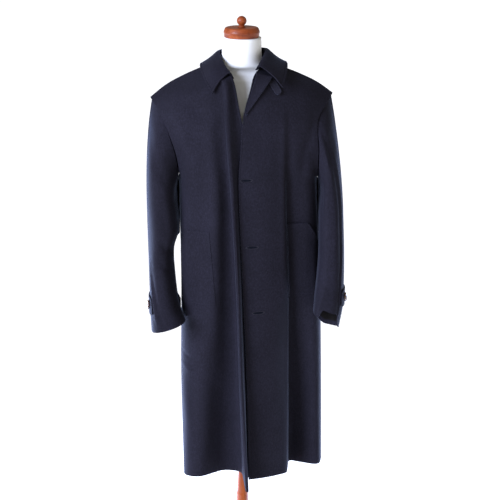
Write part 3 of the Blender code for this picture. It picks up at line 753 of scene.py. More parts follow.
class Graph:
    """A new material and its nodes, ending in one Principled shader."""

    def __init__(self, name: str) -> None:
        """Makes the material with nothing but its shader and output.

        Args:
            name: the material's name.
        """
        self.material = bpy.data.materials.new(name)
        self.material.use_nodes = True
        self.tree = self.material.node_tree
        self.shader = self.tree.nodes["Principled BSDF"]

    def node(
        self,
        kind: str,
        settings: dict[str, Any] | None = None,
        inputs: dict[Any, Any] | None = None,
        output: Any = 0,
    ) -> Signal:
        """Adds one node.

        Args:
            kind: the node's type name.
            settings: its settings; "stops" sets a ramp's places and colours.
            inputs: values, or signals to link, by socket name or number.
            output: which output to return.

        Returns:
            The output as a signal.
        """
        node = self.tree.nodes.new(kind)
        for key, value in (settings or {}).items():
            if key == "stops":
                ramp = node.color_ramp
                while len(ramp.elements) < len(value):
                    ramp.elements.new(0.5)
                for element, (place, colour) in zip(ramp.elements, value):
                    element.position = place
                    element.color = colour
            else:
                setattr(node, key, value)
        for key, value in (inputs or {}).items():
            self.feed(node.inputs[key], value)
        return Signal(self, node.outputs[output])

    def feed(self, socket: bpy.types.NodeSocket, value: Any) -> None:
        """Links a signal to a socket, or sets the socket's own value.

        Args:
            socket: the input.
            value: a signal, or a value of the socket's kind.
        """
        if isinstance(value, Signal):
            self.tree.links.new(value.socket, socket)
        else:
            socket.default_value = value

    def place(self) -> Signal:
        """Object coordinates, in metres."""
        return self.node("ShaderNodeTexCoord", output="Object")

    def stretched(self, scale: Row, turn: Row = (0, 0, 0)) -> Signal:
        """Object coordinates, scaled along each axis and turned by angles in radians."""
        return self.node(
            "ShaderNodeMapping",
            inputs={"Vector": self.place(), "Scale": scale, "Rotation": turn},
        )

    def noise(self, scale: float, detail: float = 3.0, vector: Signal | None = None,
              roughness: float = 0.55, distortion: float = 0.0) -> Signal:
        """Noise texture's value.

        Args:
            scale: its size, as blotches in a metre.
            detail: finer layers in it.
            vector: its coordinates, if not the object's own.
            roughness: strength of the finer layers.
            distortion: how far it is warped.

        Returns:
            The value, about 0.5 on average.
        """
        return self.node(
            "ShaderNodeTexNoise",
            inputs={
                "Vector": vector or self.place(),
                "Scale": scale,
                "Detail": detail,
                "Roughness": roughness,
                "Distortion": distortion,
            },
        )

    def bands(self, direction: str, scale: float, distortion: float) -> Signal:
        """Wave texture's value in bands along a direction, so many in a metre and warped."""
        return self.node(
            "ShaderNodeTexWave",
            {"wave_type": "BANDS", "bands_direction": direction},
            {"Vector": self.place(), "Scale": scale, "Distortion": distortion, "Detail": 1.0},
            output=1,
        )

    def ramp(self, value: Signal, stops: Sequence[tuple[float, Row]]) -> Signal:
        """Colour ramp over a value."""
        return self.node("ShaderNodeValToRGB", {"stops": stops}, {"Fac": value})

    def mix(self, share: Any, first: Any, second: Any) -> Signal:
        """Mix of two colours."""
        return self.node(
            "ShaderNodeMix", {"data_type": "RGBA"}, {0: share, 6: first, 7: second}, output=2
        )

    def bump(self, height: Signal, distance: float, strength: float = 1.0) -> None:
        """Bump from a height signal, its distance in metres at full height."""
        out = self.node(
            "ShaderNodeBump", inputs={"Height": height, "Distance": distance, "Strength": strength}
        )
        self.feed(self.shader.inputs["Normal"], out)

    def set(self, **values: Any) -> "Graph":
        """Sets the shader's sockets, with underscores for the spaces in their names."""
        for key, value in values.items():
            self.feed(self.shader.inputs[key.replace("_", " ")], value)
        return self


def colour(red: float, green: float, blue: float) -> tuple[float, float, float, float]:
    """An opaque linear colour."""
    return (red, green, blue, 1.0)


@dataclass(frozen=True)
class Melton:
    """Navy woollen cloth: milled fibres in several blues under a short brushed nap."""

    name: str = "navy_melton"
    deep: Row = colour(0.0054, 0.0049, 0.0079)
    middle: Row = colour(0.0104, 0.0095, 0.0154)
    light: Row = colour(0.0205, 0.0190, 0.0315)
    sheen: float = 0.22

    def build(self) -> Material:
        """Builds fibre noise at three sizes in the colour and the bump.

        Returns:
            The material.
        """
        g = Graph(self.name)
        nap = g.noise(900, 3, g.stretched((1.0, 1.0, 0.42)), 0.6)
        fibre = g.noise(2600, 2, g.stretched((1.0, 1.0, 0.6)))
        tuft = g.noise(240, 3, g.stretched((1.0, 1.0, 0.7)), 0.6)
        cloud = g.noise(9, 3, roughness=0.5)
        tone = nap * 0.35 + fibre * 0.15 + tuft * 0.35 + cloud * 0.15
        base = g.ramp(tone, [(0.34, self.deep), (0.50, self.middle), (0.70, self.light)])
        g.set(Base_Color=base, Roughness=0.80 + nap * 0.14, Sheen_Weight=self.sheen,
              Sheen_Roughness=0.26, Sheen_Tint=colour(0.55, 0.66, 1.0),
              Specular_IOR_Level=0.10)
        g.bump(nap * 0.7 + fibre * 0.3, 0.0006, 0.55)
        return g.material


@dataclass(frozen=True)
class Satin:
    """Dark blue lining twill: fine slanting ribs with a soft gloss."""

    name: str = "lining_twill"
    dark: Row = colour(0.006, 0.008, 0.016)
    light: Row = colour(0.018, 0.022, 0.042)
    roughness: float = 0.42
    gloss: float = 0.4

    def build(self) -> Material:
        """Builds a slanted wave for the ribs, with a little noise.

        Returns:
            The material.
        """
        g = Graph(self.name)
        rib = g.bands("DIAGONAL", 420.0, 0.6)
        cloud = g.noise(24, 3)
        base = g.ramp(rib * 0.5 + cloud * 0.5, [(0.2, self.dark), (0.9, self.light)])
        g.set(Base_Color=base, Roughness=self.roughness + cloud * 0.12,
              Specular_IOR_Level=self.gloss)
        g.bump(rib, 0.00012, 0.5)
        return g.material


@dataclass(frozen=True)
class Thread:
    """Twisted navy sewing thread, its strands up to so many times as light."""

    name: str = "navy_thread"
    base: Row = colour(0.0105, 0.0100, 0.0160)
    lightening: float = 1.7

    def build(self) -> Material:
        """Builds fine strand noise over one blue.

        Returns:
            The material.
        """
        g = Graph(self.name)
        strand = g.noise(3000, 2)
        lighter = colour(*(v * self.lightening for v in self.base[:3]))
        g.set(Base_Color=g.mix(strand, self.base, lighter), Roughness=0.7,
              Specular_IOR_Level=0.15)
        return g.material


@dataclass(frozen=True)
class Shade:
    """Painted shade: near-black wool colour laid where the shade down in a buttonhole's slit
    falls.
    """

    name: str = "slit_shade"
    dark: Row = colour(0.0015, 0.002, 0.004)
    light: Row = colour(0.004, 0.005, 0.010)

    def build(self) -> Material:
        """Builds near black with a trace of fibre.

        Returns:
            The material.
        """
        g = Graph(self.name)
        fibre = g.noise(2000, 2)
        g.set(Base_Color=g.mix(fibre, self.dark, self.light), Roughness=0.95,
              Specular_IOR_Level=0.1)
        return g.material


@dataclass(frozen=True)
class Horn:
    """Polished brown horn with paler streaks."""

    name: str = "brown_horn"
    dark: Row = colour(0.030, 0.014, 0.008)
    middle: Row = colour(0.105, 0.048, 0.024)
    pale: Row = colour(0.36, 0.22, 0.13)

    def build(self) -> Material:
        """Builds drawn-out noise for the streaks under a clear polish.

        Returns:
            The material.
        """
        g = Graph(self.name)
        streak = g.noise(150, 4, g.stretched((1.0, 0.35, 2.2), (0.4, 0.2, 0.6)), 0.6, 0.8)
        grain = g.noise(900, 2)
        base = g.ramp(streak * 0.85 + grain * 0.15,
                      [(0.34, self.dark), (0.52, self.middle), (0.74, self.pale)])
        g.set(Base_Color=base, Roughness=0.26 + grain * 0.14, Coat_Weight=0.35,
              Coat_Roughness=0.12)
        g.bump(streak, 0.00015, 0.4)
        return g.material


@dataclass(frozen=True)
class Wood:
    """Turned hardwood under varnish, its grain along or across the turning axis."""

    name: str
    dark: Row
    middle: Row
    light: Row
    grain_scale: Row = (1.0, 1.0, 0.06)

    def build(self) -> Material:
        """Builds long noise for the grain, short dashes for the pores.

        Returns:
            The material.
        """
        g = Graph(self.name)
        grain = g.noise(70, 5, g.stretched(self.grain_scale), 0.6, 0.5)
        pores = g.noise(700, 2, g.stretched(self.grain_scale))
        cloud = g.noise(14, 2)
        tone = grain * 0.7 + pores * 0.15 + cloud * 0.15
        base = g.ramp(tone, [(0.32, self.dark), (0.52, self.middle), (0.72, self.light)])
        g.set(Base_Color=base, Roughness=0.42 + pores * 0.16, Coat_Weight=0.14,
              Coat_Roughness=0.16, Specular_IOR_Level=0.28)
        g.bump(pores * 0.5 + grain * 0.5, 0.0002, 0.35)
        return g.material


@dataclass(frozen=True)
class Jersey:
    """White knitted cotton stretched over the form: fine wales with faint courses."""

    name: str = "form_jersey"
    base: Row = colour(0.93, 0.93, 0.92)
    shadow: Row = colour(0.85, 0.85, 0.84)

    def build(self) -> Material:
        """Builds fine bands for the courses, and soft blotches.

        Returns:
            The material.
        """
        g = Graph(self.name)
        course = g.bands("Z", 330.0, 1.2)
        fuzz = g.noise(1500, 2)
        cloud = g.noise(12, 2)
        tone = course * 0.3 + fuzz * 0.3 + cloud * 0.4
        g.set(Base_Color=g.mix(tone, self.shadow, self.base), Roughness=0.85,
              Sheen_Weight=0.15)
        g.bump(course * 0.6 + fuzz * 0.4, 0.0003, 0.4)
        return g.material


@dataclass(frozen=True)
class Paper:
    """The studio's pale floor."""

    name: str = "studio_floor"
    base: Row = colour(0.91, 0.90, 0.87)
    cloud: Row = colour(0.92, 0.91, 0.89)
    glow: Row = colour(1.0, 0.97, 0.91)
    glow_strength: float = 0.42

    def build(self) -> Material:
        """Builds one pale tone with very faint clouds.

        Returns:
            The material.
        """
        g = Graph(self.name)
        cloud = g.noise(2, 2)
        g.set(Base_Color=g.mix(cloud, self.base, self.cloud), Roughness=0.9,
              Specular_IOR_Level=0.1, Emission_Color=self.glow,
              Emission_Strength=self.glow_strength)
        return g.material


def made(look: Any) -> Any:
    """A field that holds the material which this look builds."""
    return field(default_factory=look.build)


@dataclass
class Finishes:
    """Every material of the object, built once."""

    wool: Material = made(Melton())
    turned_wool: Material = made(Melton("navy_melton_turned", sheen=0.2))
    # Lighter copy of the wool for the cut edges of lined pieces and for the throat latch: painted
    # highlight where edges and the latch catch light.
    edge: Material = made(Melton(
        "navy_melton_painted_highlight", colour(0.009, 0.0085, 0.013), colour(0.018, 0.017, 0.026),
        colour(0.034, 0.032, 0.047), sheen=0.3))
    lining: Material = made(Satin())
    # Brown sleeve lining, darkened beyond its own tone: partly painted shade down inside the
    # sleeves.
    sleeve_lining: Material = made(Satin(
        "sleeve_lining_twill", colour(0.0025, 0.0021, 0.0019), colour(0.012, 0.010, 0.009),
        roughness=0.8, gloss=0.08))
    thread: Material = made(Thread())
    purl: Material = made(Thread("buttonhole_purl", colour(0.014, 0.013, 0.019)))
    shade: Material = made(Shade())
    horn: Material = made(Horn())
    jersey: Material = made(Jersey())
    red_wood: Material = made(Wood(
        "red_brown_varnish", colour(0.110, 0.016, 0.003), colour(0.25, 0.046, 0.008),
        colour(0.38, 0.100, 0.026), (0.25, 1.0, 1.0)))
    orange_wood: Material = made(Wood(
        "orange_brown_varnish", colour(0.18, 0.028, 0.002), colour(0.27, 0.050, 0.004),
        colour(0.35, 0.078, 0.010)))

    @property
    def lined(self) -> list[Material]:
        """Wool outside, lining inside, wool on the turned-back strips, and the edge in lighter
        wool as a painted highlight.
        """
        return [self.wool, self.lining, self.turned_wool, self.edge]

    @property
    def lined_sleeve(self) -> list[Material]:
        """The same for a sleeve, whose lining is brown, made darker than its own tone as painted
        shade inside the sleeve.
        """
        return [self.wool, self.sleeve_lining, self.turned_wool, self.edge]

    @property
    def plain(self) -> list[Material]:
        """Wool all over."""
        return [self.wool]


# ---- the coat's sheets


def shoulder_heights(x: Array, inner_x: Array, outer_x: Array, inner_z: Array,
                     outer_z: Array) -> Array:
    """Height between a row's two ends: mostly straight, then a late drop to the tip.

    Args:
        x: places across.
        inner_x: the inner end's place.
        outer_x: the outer end's place.
        inner_z: the inner end's height.
        outer_z: the outer end's height.

    Returns:
        The height at each place.
    """
    share = np.clip((x - inner_x) / (outer_x - inner_x), 0, 1)
    fall = SHOULDER_STRAIGHT * share + (1 - SHOULDER_STRAIGHT) * share**SHOULDER_TIP_POWER
    return inner_z + (outer_z - inner_z) * fall


def front_folds(side: Side, at: Array) -> Array:
    """Fold points of a front at these places along its levels.

    Args:
        side: which front.
        at: places along the levels.

    Returns:
        (len(at), folds, 3) points in mm.
    """
    heights, folds = PANELS[side]
    rows = spline(folds, at).reshape(len(at), -1, 2)
    level = spline(heights, at)
    x, y = rows[..., 0], rows[..., 1]
    z = shoulder_heights(x, x[:, :1], x[:, -1:], level[:, :1], level[:, 1:])
    return np.stack([x, y, z], axis=2)


def levels() -> Array:
    """Places along the nine levels of a panel, evenly apart."""
    return np.linspace(0, LAST_LEVEL, 25 * LAST_LEVEL + 1)


def right_front_base() -> Array:
    """The right front's sheet, from its free edge to its side.

    The nose of its fold is two fold lines beside each other, and the hem's lift fades out
    over the lowest half level.

    Returns:
        (rows, columns, 3) sheet in mm.
    """
    folds = front_folds(Side.RIGHT, levels())
    fade = np.clip(1 - 2 * levels(), 0, 1)[:, None]
    folds[..., 2] += fade * np.array(RIGHT_HEM_LIFT)
    nose = folds[:, 2:3]
    half = np.array([NOSE_WIDTH / 2, 0, 0])
    folds = np.concatenate([folds[:, :2], nose + half, nose - half, folds[:, 3:]], axis=1)
    return rounded_paths(folds, reach=(9, 5, 5, 18, 30, 28, 34))


def left_front_base() -> Array:
    """The left front's sheet, from its side to its free edge."""
    folds = front_folds(Side.LEFT, levels())
    return rounded_paths(folds, reach=(40, 14, 16, 34))[:, ::-1]


def back_base() -> Array:
    """The back's sheet, from its right side to its left side.

    Its folds are shares of the distance between the two fronts' side seams, and above
    the underarm its ends swing back from the fronts' line to the armhole's rear line.

    Returns:
        (rows, columns, 3) sheet in mm.
    """
    at = levels()
    back = spline(BACK_FOLDS, at)
    right, left = (front_folds(side, at)[:, -1] for side in Side)
    middle, half = (right[:, 0] + left[:, 0]) / 2, (left[:, 0] - right[:, 0]) / 2

    def fold(side: int, column: int) -> Array:
        """One side's fold line.

        Args:
            side: -1 or 1.
            column: the table's column with its x, before the one with its y.

        Returns:
            (levels, 3) points.
        """
        end = right if side < 0 else left
        x = middle + side * half * back[:, column] / left[:, 0]
        z = shoulder_heights(x, middle, end[:, 0], back[:, 0], end[:, 2])
        return np.stack([x, back[:, column + 1], z], axis=1)

    folds = [swung_back(right, at), fold(-1, 6), fold(-1, 4), fold(-1, 2),
             np.stack([middle, back[:, 1], back[:, 0]], axis=1),
             fold(1, 2), fold(1, 4), fold(1, 6), swung_back(left, at)]
    sheet = rounded_paths(np.stack(folds, axis=1), reach=(60,) * 7)
    return seamed_shoulders(sheet, at)


def swung_back(line: Array, at: Array) -> Array:
    """A front's side line, from the underarm upwards mirrored to the armhole's rear."""
    swing = np.clip(at - UNDERARM_LEVEL, 0, 1)
    return np.stack([line[:, 0], line[:, 1] * (1 - 2 * swing), line[:, 2]], axis=1)


def seamed_shoulders(sheet: Array, at: Array) -> Array:
    """The back led up to the fronts' shoulder edges, and to an oval neckline between.

    The shift of the top row fades out down the sheet as a smooth step.

    Args:
        sheet: (rows, columns, 3) back.
        at: each row's place along the levels.

    Returns:
        The sheet, of the same shape.
    """
    top = sheet[-1]
    away = np.abs(top[:, 0] / NECK_HALF)
    oval = np.clip(1 - away ** NECK_POWERS[0], 0, 1) ** NECK_POWERS[1]
    seam_y = NECK_END_Y + NECK_DEPTH * oval
    seam_z = top[:, 2].copy()
    for base, side in ((right_front_base(), -1), (left_front_base(), 1)):
        edge = base[-1][np.argsort(base[-1][:, 0] * side)]
        mine = top[:, 0] * side > 0
        seam_z[mine] = np.interp(top[mine, 0] * side, edge[:, 0] * side, edge[:, 2])
    seam_z += NECK_RISE * np.clip(1 - away, 0, 1)
    shift = np.stack([0 * seam_y, seam_y - top[:, 1], seam_z - top[:, 2]], axis=1)
    fade = np.clip((at - SHOULDER_FADE) / (LAST_LEVEL - SHOULDER_FADE), 0, 1)
    fade = fade**2 * (3 - 2 * fade)
    return sheet + fade[:, None, None] * shift


def armhole(side: Side, half: Half, count: int) -> Array:
    """The armhole's line from the shoulder's tip to the underarm.

    Args:
        side: which armhole.
        half: its front or its rear.
        count: points, evenly apart.

    Returns:
        (count, 3) points in mm.
    """
    at = np.linspace(UNDERARM_LEVEL, LAST_LEVEL, 121)
    line = front_folds(side, at)[:, -1]
    line = (swung_back(line, at) if half is Half.BACK else line)[::-1]
    run = run_of(line)
    return read_at(np.linspace(0, run[-1], count), run, line)


def ring_points(
    rings: Array, angles: Array, half: Half, inner_power: float = RING_POWER
) -> Array:
    """Squarish ovals at each level of a sleeve, from outside round to the body.

    A point's x and y are the cosine and sine of its angle raised to a power under one,
    which fills the oval's corners, times the half width and depth.

    Args:
        rings: (n, 6) rows of height, rise, outer x, inner x, front y and back y.
        angles: angles from straight out to the body, in radians.
        half: which half of the oval.
        inner_power: squareness of its side towards the body.

    Returns:
        (n, len(angles), 3) points in mm.
    """
    z, rise, outer, inner, front, back = (rings[:, k : k + 1] for k in range(6))
    power = 2 / np.where(np.cos(angles) < 0, inner_power, RING_POWER)
    across = squared_off(np.cos(angles), power)
    along = squared_off(np.sin(angles), power)
    x = (outer + inner) / 2 + (outer - inner) / 2 * across
    y = (front + back) / 2 + half.value * (back - front) / 2 * along
    return np.stack([x, y, z + rise * (1 - across) / 2], axis=2)


def ring_table(side: Side, steps: int) -> Array:
    """A sleeve's rings with so many steps from each to the next."""
    last = len(SLEEVE_RINGS[side]) - 1
    return spline(SLEEVE_RINGS[side], np.linspace(0, last, steps * last + 1))


def sleeve_base(side: Side, half: Half) -> Array:
    """One half of a sleeve from its cuff up to the armhole.

    The head between armhole and first ring is a Hermite curve for each column.

    Args:
        side: which sleeve.
        half: which half.

    Returns:
        (rows, 61, 3) sheet in mm, in order from the outer to the inner seam.
    """
    out, facing = side.value, half.value
    share = np.linspace(0, 1, 61)
    angles = math.pi * share
    tuck = np.clip(1 - share / TUCK_WIDTH, 0, 1)
    start = armhole(side, half, len(share))
    beside = ARMHOLE_GAP[0] + ARMHOLE_GAP[1] * share
    start[:, 0] += out * (-SLEEVE_TUCK[0] * tuck + beside * (1 - tuck))
    sets_in = np.minimum(1, TUCK_SLOPES[0] * tuck) * np.minimum(1, TUCK_SLOPES[1] * share)
    start[:, 1] -= facing * SLEEVE_TUCK[1] * sets_in
    start[:, 2] -= SLEEVE_TUCK[2] * tuck
    rings = ring_points(ring_table(side, 20), angles, half, INNER_POWER[side])
    first = rings[0]
    reach = np.linalg.norm(first - start, axis=1)[:, None]
    bulge = np.sin(angles)
    at_seam, wide, deep, raised = HEAD_WAY
    leave = unit(np.stack([out * (at_seam + wide * bulge), facing * deep * bulge,
                           -1 + raised * bulge], axis=1)) * reach
    arrive = unit(rings[HEAD_TARGET] - first) * reach
    t = (np.arange(HEAD_ROWS) / HEAD_ROWS)[:, None, None]
    head = (
        (2 * t**3 - 3 * t**2 + 1) * start
        + (t**3 - 2 * t**2 + t) * leave
        + (-2 * t**3 + 3 * t**2) * first
        + (t**3 - t**2) * arrive
    )
    sheet = np.concatenate([head, rings])[::-1]
    if side is Side.LEFT:
        lifts = np.array(LEFT_CUFF[half])
        lift = np.interp(share, lifts[:, 0], lifts[:, 1])
        still = sheet[CUFF_ROWS]
        drop = (still - sheet[0])[:, 2]
        sheet[:CUFF_ROWS] += (still - sheet[:CUFF_ROWS]) * (lift / drop)[:, None]
    above = np.clip((np.arange(len(sheet)) - len(rings)) / HEAD_ROWS, 0, 1)[:, None]
    if half is Half.BACK:
        sheet[..., 0] -= out * flank_touch(side, sheet, share, above) * (1 - above**4)
    inner_gap = SLEEVE_SEAM_GAP + (UNDERARM_GAP - SLEEVE_SEAM_GAP) * above
    return drawn_in(sheet, 0, 0, SLEEVE_SEAM_GAP, inner_gap)


def flank_touch(side: Side, sheet: Array, share: Array, above: Array) -> Array:
    """How far a sleeve's back half swells beside its seam to lie against the coat.

    The swelling is the gap to the coat's side seam times a bell curve across the
    sleeve, wider towards the armhole. Where the sleeve hangs away from the coat it
    fades out.

    Args:
        side: which sleeve.
        sheet: (rows, columns, 3) half of it, in order from the outer to the inner seam.
        share: each column's share of the way.
        above: (rows, 1) share of the way up the head, 0 below it.

    Returns:
        (rows, columns) swelling towards the coat, in mm.
    """
    flank = front_folds(side, levels())[:, -1]
    beside = np.interp(sheet[:, -1, 2], flank[:, 2], np.abs(flank[:, 0]))
    gap = np.abs(sheet[:, -1, 0]) - beside
    reach = gap + TOUCH_REACH
    swell = np.clip(reach, 0, None) * np.clip((TOUCH_END - gap) / TOUCH_FADE, 0, 1)
    swell *= np.clip(reach / TOUCH_START, 0, 1)
    centre = TOUCH_CENTRE[0] + TOUCH_CENTRE[1] * above
    width = TOUCH_WIDTH[0] + TOUCH_WIDTH[1] * above
    bell = np.exp(-(((share - centre) / width) ** 2))
    return (swell[:, None] + TOUCH_HEAD * above) * bell


def collar_base() -> Array:
    """The collar's sheet: stand, rolled fold and leaf, at each place round the neck.

    Returns:
        (places, columns, 3) sheet in mm, from the stand's foot to the leaf's edge.
    """
    at = np.linspace(0, len(COLLAR_STATIONS) - 1, 241)
    rows = spline(COLLAR_STATIONS, at)
    base, fold, edge, arch = rows[:, 0:3], rows[:, 3:6], rows[:, 6:9], rows[:, 9:]
    depth, station, width = COLLAR_DIP
    base[:, 2] -= depth * np.exp(-(((at - station) / width) ** 2))
    away = edge - fold
    away[:, 2] = 0
    away = unit(away)
    outer = fold + away * FOLD_WIDTH + [0, 0, -FOLD_FALL]
    middle = (outer + edge) / 2 + arch * (LEAF_ARCH_OUT * away + [0, 0, 1])
    return rounded_paths(np.stack([base, fold, outer, middle, edge], axis=1), (4.6, 4.6, 30))


# Distances from an edge that get a row of points: plain, at a hem, at a ridged seam and
# where it is sewn. The stitches' own distance.
PLAIN_EDGE = (1.0,)
HEM_EDGE = (1.0, 3.0)
RIDGE_EDGE = (1.0, 2.5, 4.5)
STITCH_EDGE = (0.8, 2.0, 3.6, 5.2, 6.0, 6.8, 8.4, 10.5)
STITCH_INSET = 6.0
# Half widths of the groove's bell and of the swell beside it, and the swell's share.
GROOVE_WIDTH = 1.3
SWELL_WIDTH = 2.2
SWELL_SHARE = 0.5
# The least that a sheet's normal points forwards where pieces are laid on it, as its y,
# and how many places are looked up at once.
LEAST_FORWARD = -0.2
BATCH = 256


def grooved(grid: Array, edges: Sequence[str], inset: float = STITCH_INSET,
            depth: float = 0.45) -> Array:
    """The sheet with a sewn groove inside some of its edges.

    The groove is a narrow bell under the stitches, and the strip between it and the
    edge swells a little.

    Args:
        grid: (rows, columns, 3) sheet.
        edges: which of "first", "last", "bottom" and "top".
        inset: the groove's distance from the edge, in mm.
        depth: its depth, in mm.

    Returns:
        The sheet, moved along its normals.
    """
    across, up = lengths_along(grid, 1), lengths_along(grid, 0)
    far = {"first": across, "last": across[:, -1:] - across,
           "bottom": up, "top": up[-1:] - up}
    near = np.min([far[edge] for edge in edges], axis=0)
    height = -depth * np.exp(-(((near - inset) / GROOVE_WIDTH) ** 2))
    height += SWELL_SHARE * depth * np.exp(-(((near - inset / 2) / SWELL_WIDTH) ** 2))
    return grid + sheet_normals(grid) * height[..., None]


@dataclass
class Placer:
    """Finds the places on a front that lie behind given x and z."""

    grid: Array

    def __post_init__(self) -> None:
        """Keeps the sheet's points and normals as flat lists."""
        self.points = self.grid.reshape(-1, 3)
        self.normals = sheet_normals(self.grid).reshape(-1, 3)

    def lay(self, x: Array, z: Array, height: Any) -> tuple[Array, Array]:
        """Points over the front, so far out from it.

        Each is put on the plane of the nearest sheet point that faces forwards.

        Args:
            x: places across, in mm.
            z: places up, in mm.
            height: how far out, in mm.

        Returns:
            The points and the sheet's normals there, in the shape of x.
        """
        flat = np.stack([np.ravel(x), np.ravel(z)], axis=1)
        near = np.empty(len(flat), int)
        turned_away = np.where(self.normals[:, 1] > LEAST_FORWARD, FAR, 0)
        for start in range(0, len(flat), BATCH):
            part = flat[start : start + BATCH]
            gap = ((self.points[None, :, [0, 2]] - part[:, None]) ** 2).sum(axis=2)
            near[start : start + BATCH] = (gap + turned_away).argmin(axis=1)
        foot, normal = self.points[near], self.normals[near]
        step = flat - foot[:, [0, 2]]
        slope = (normal[:, 0] * step[:, 0] + normal[:, 2] * step[:, 1]) / normal[:, 1]
        found = np.stack([flat[:, 0], foot[:, 1] - slope, flat[:, 1]], axis=1)
        found += normal * np.ravel(height * np.ones(np.shape(x)))[:, None]
        shape = (*np.shape(x), 3)
        return found.reshape(shape), normal.reshape(shape)


# ---- sub-assemblies


def sew(
    finishes: Finishes,
    node: str,
    grid: Array,
    rests_on: str,
    edges: Sequence[str] = (),
    inset: float = STITCH_INSET,
    sewn: Array | None = None,
    thickness: float = CLOTH,
    materials: Sequence[Material] | None = None,
    **cut: Any,
) -> None:
    """Args:
        finishes: the materials.
        node: the CAD node that it stands for, which also names it and its stitching.
        grid: (rows, columns, 3) outer face in mm.
        rests_on: not used.
        edges: which edges have stitches.
        inset: the stitches' distance from the edge, in mm.
        sewn: the part of the sheet that has them, if not all of it.
        thickness: the cloth's, in mm.
        materials: its own materials, if it isn't plain wool.
        cut: cloth_piece's facing and edge.
    """
    piece = cloth_piece(f"{node}_cloth", grid, thickness, materials or finishes.plain, **cut)
    dress(piece, "navy_wool", node)
    lines = [inset_line(grid if sewn is None else sewn, edge, inset) for edge in edges]
    trim = [stitched(f"{node}_stitching", lines, finishes.thread)] if lines else []
    declare_cloth(grid)


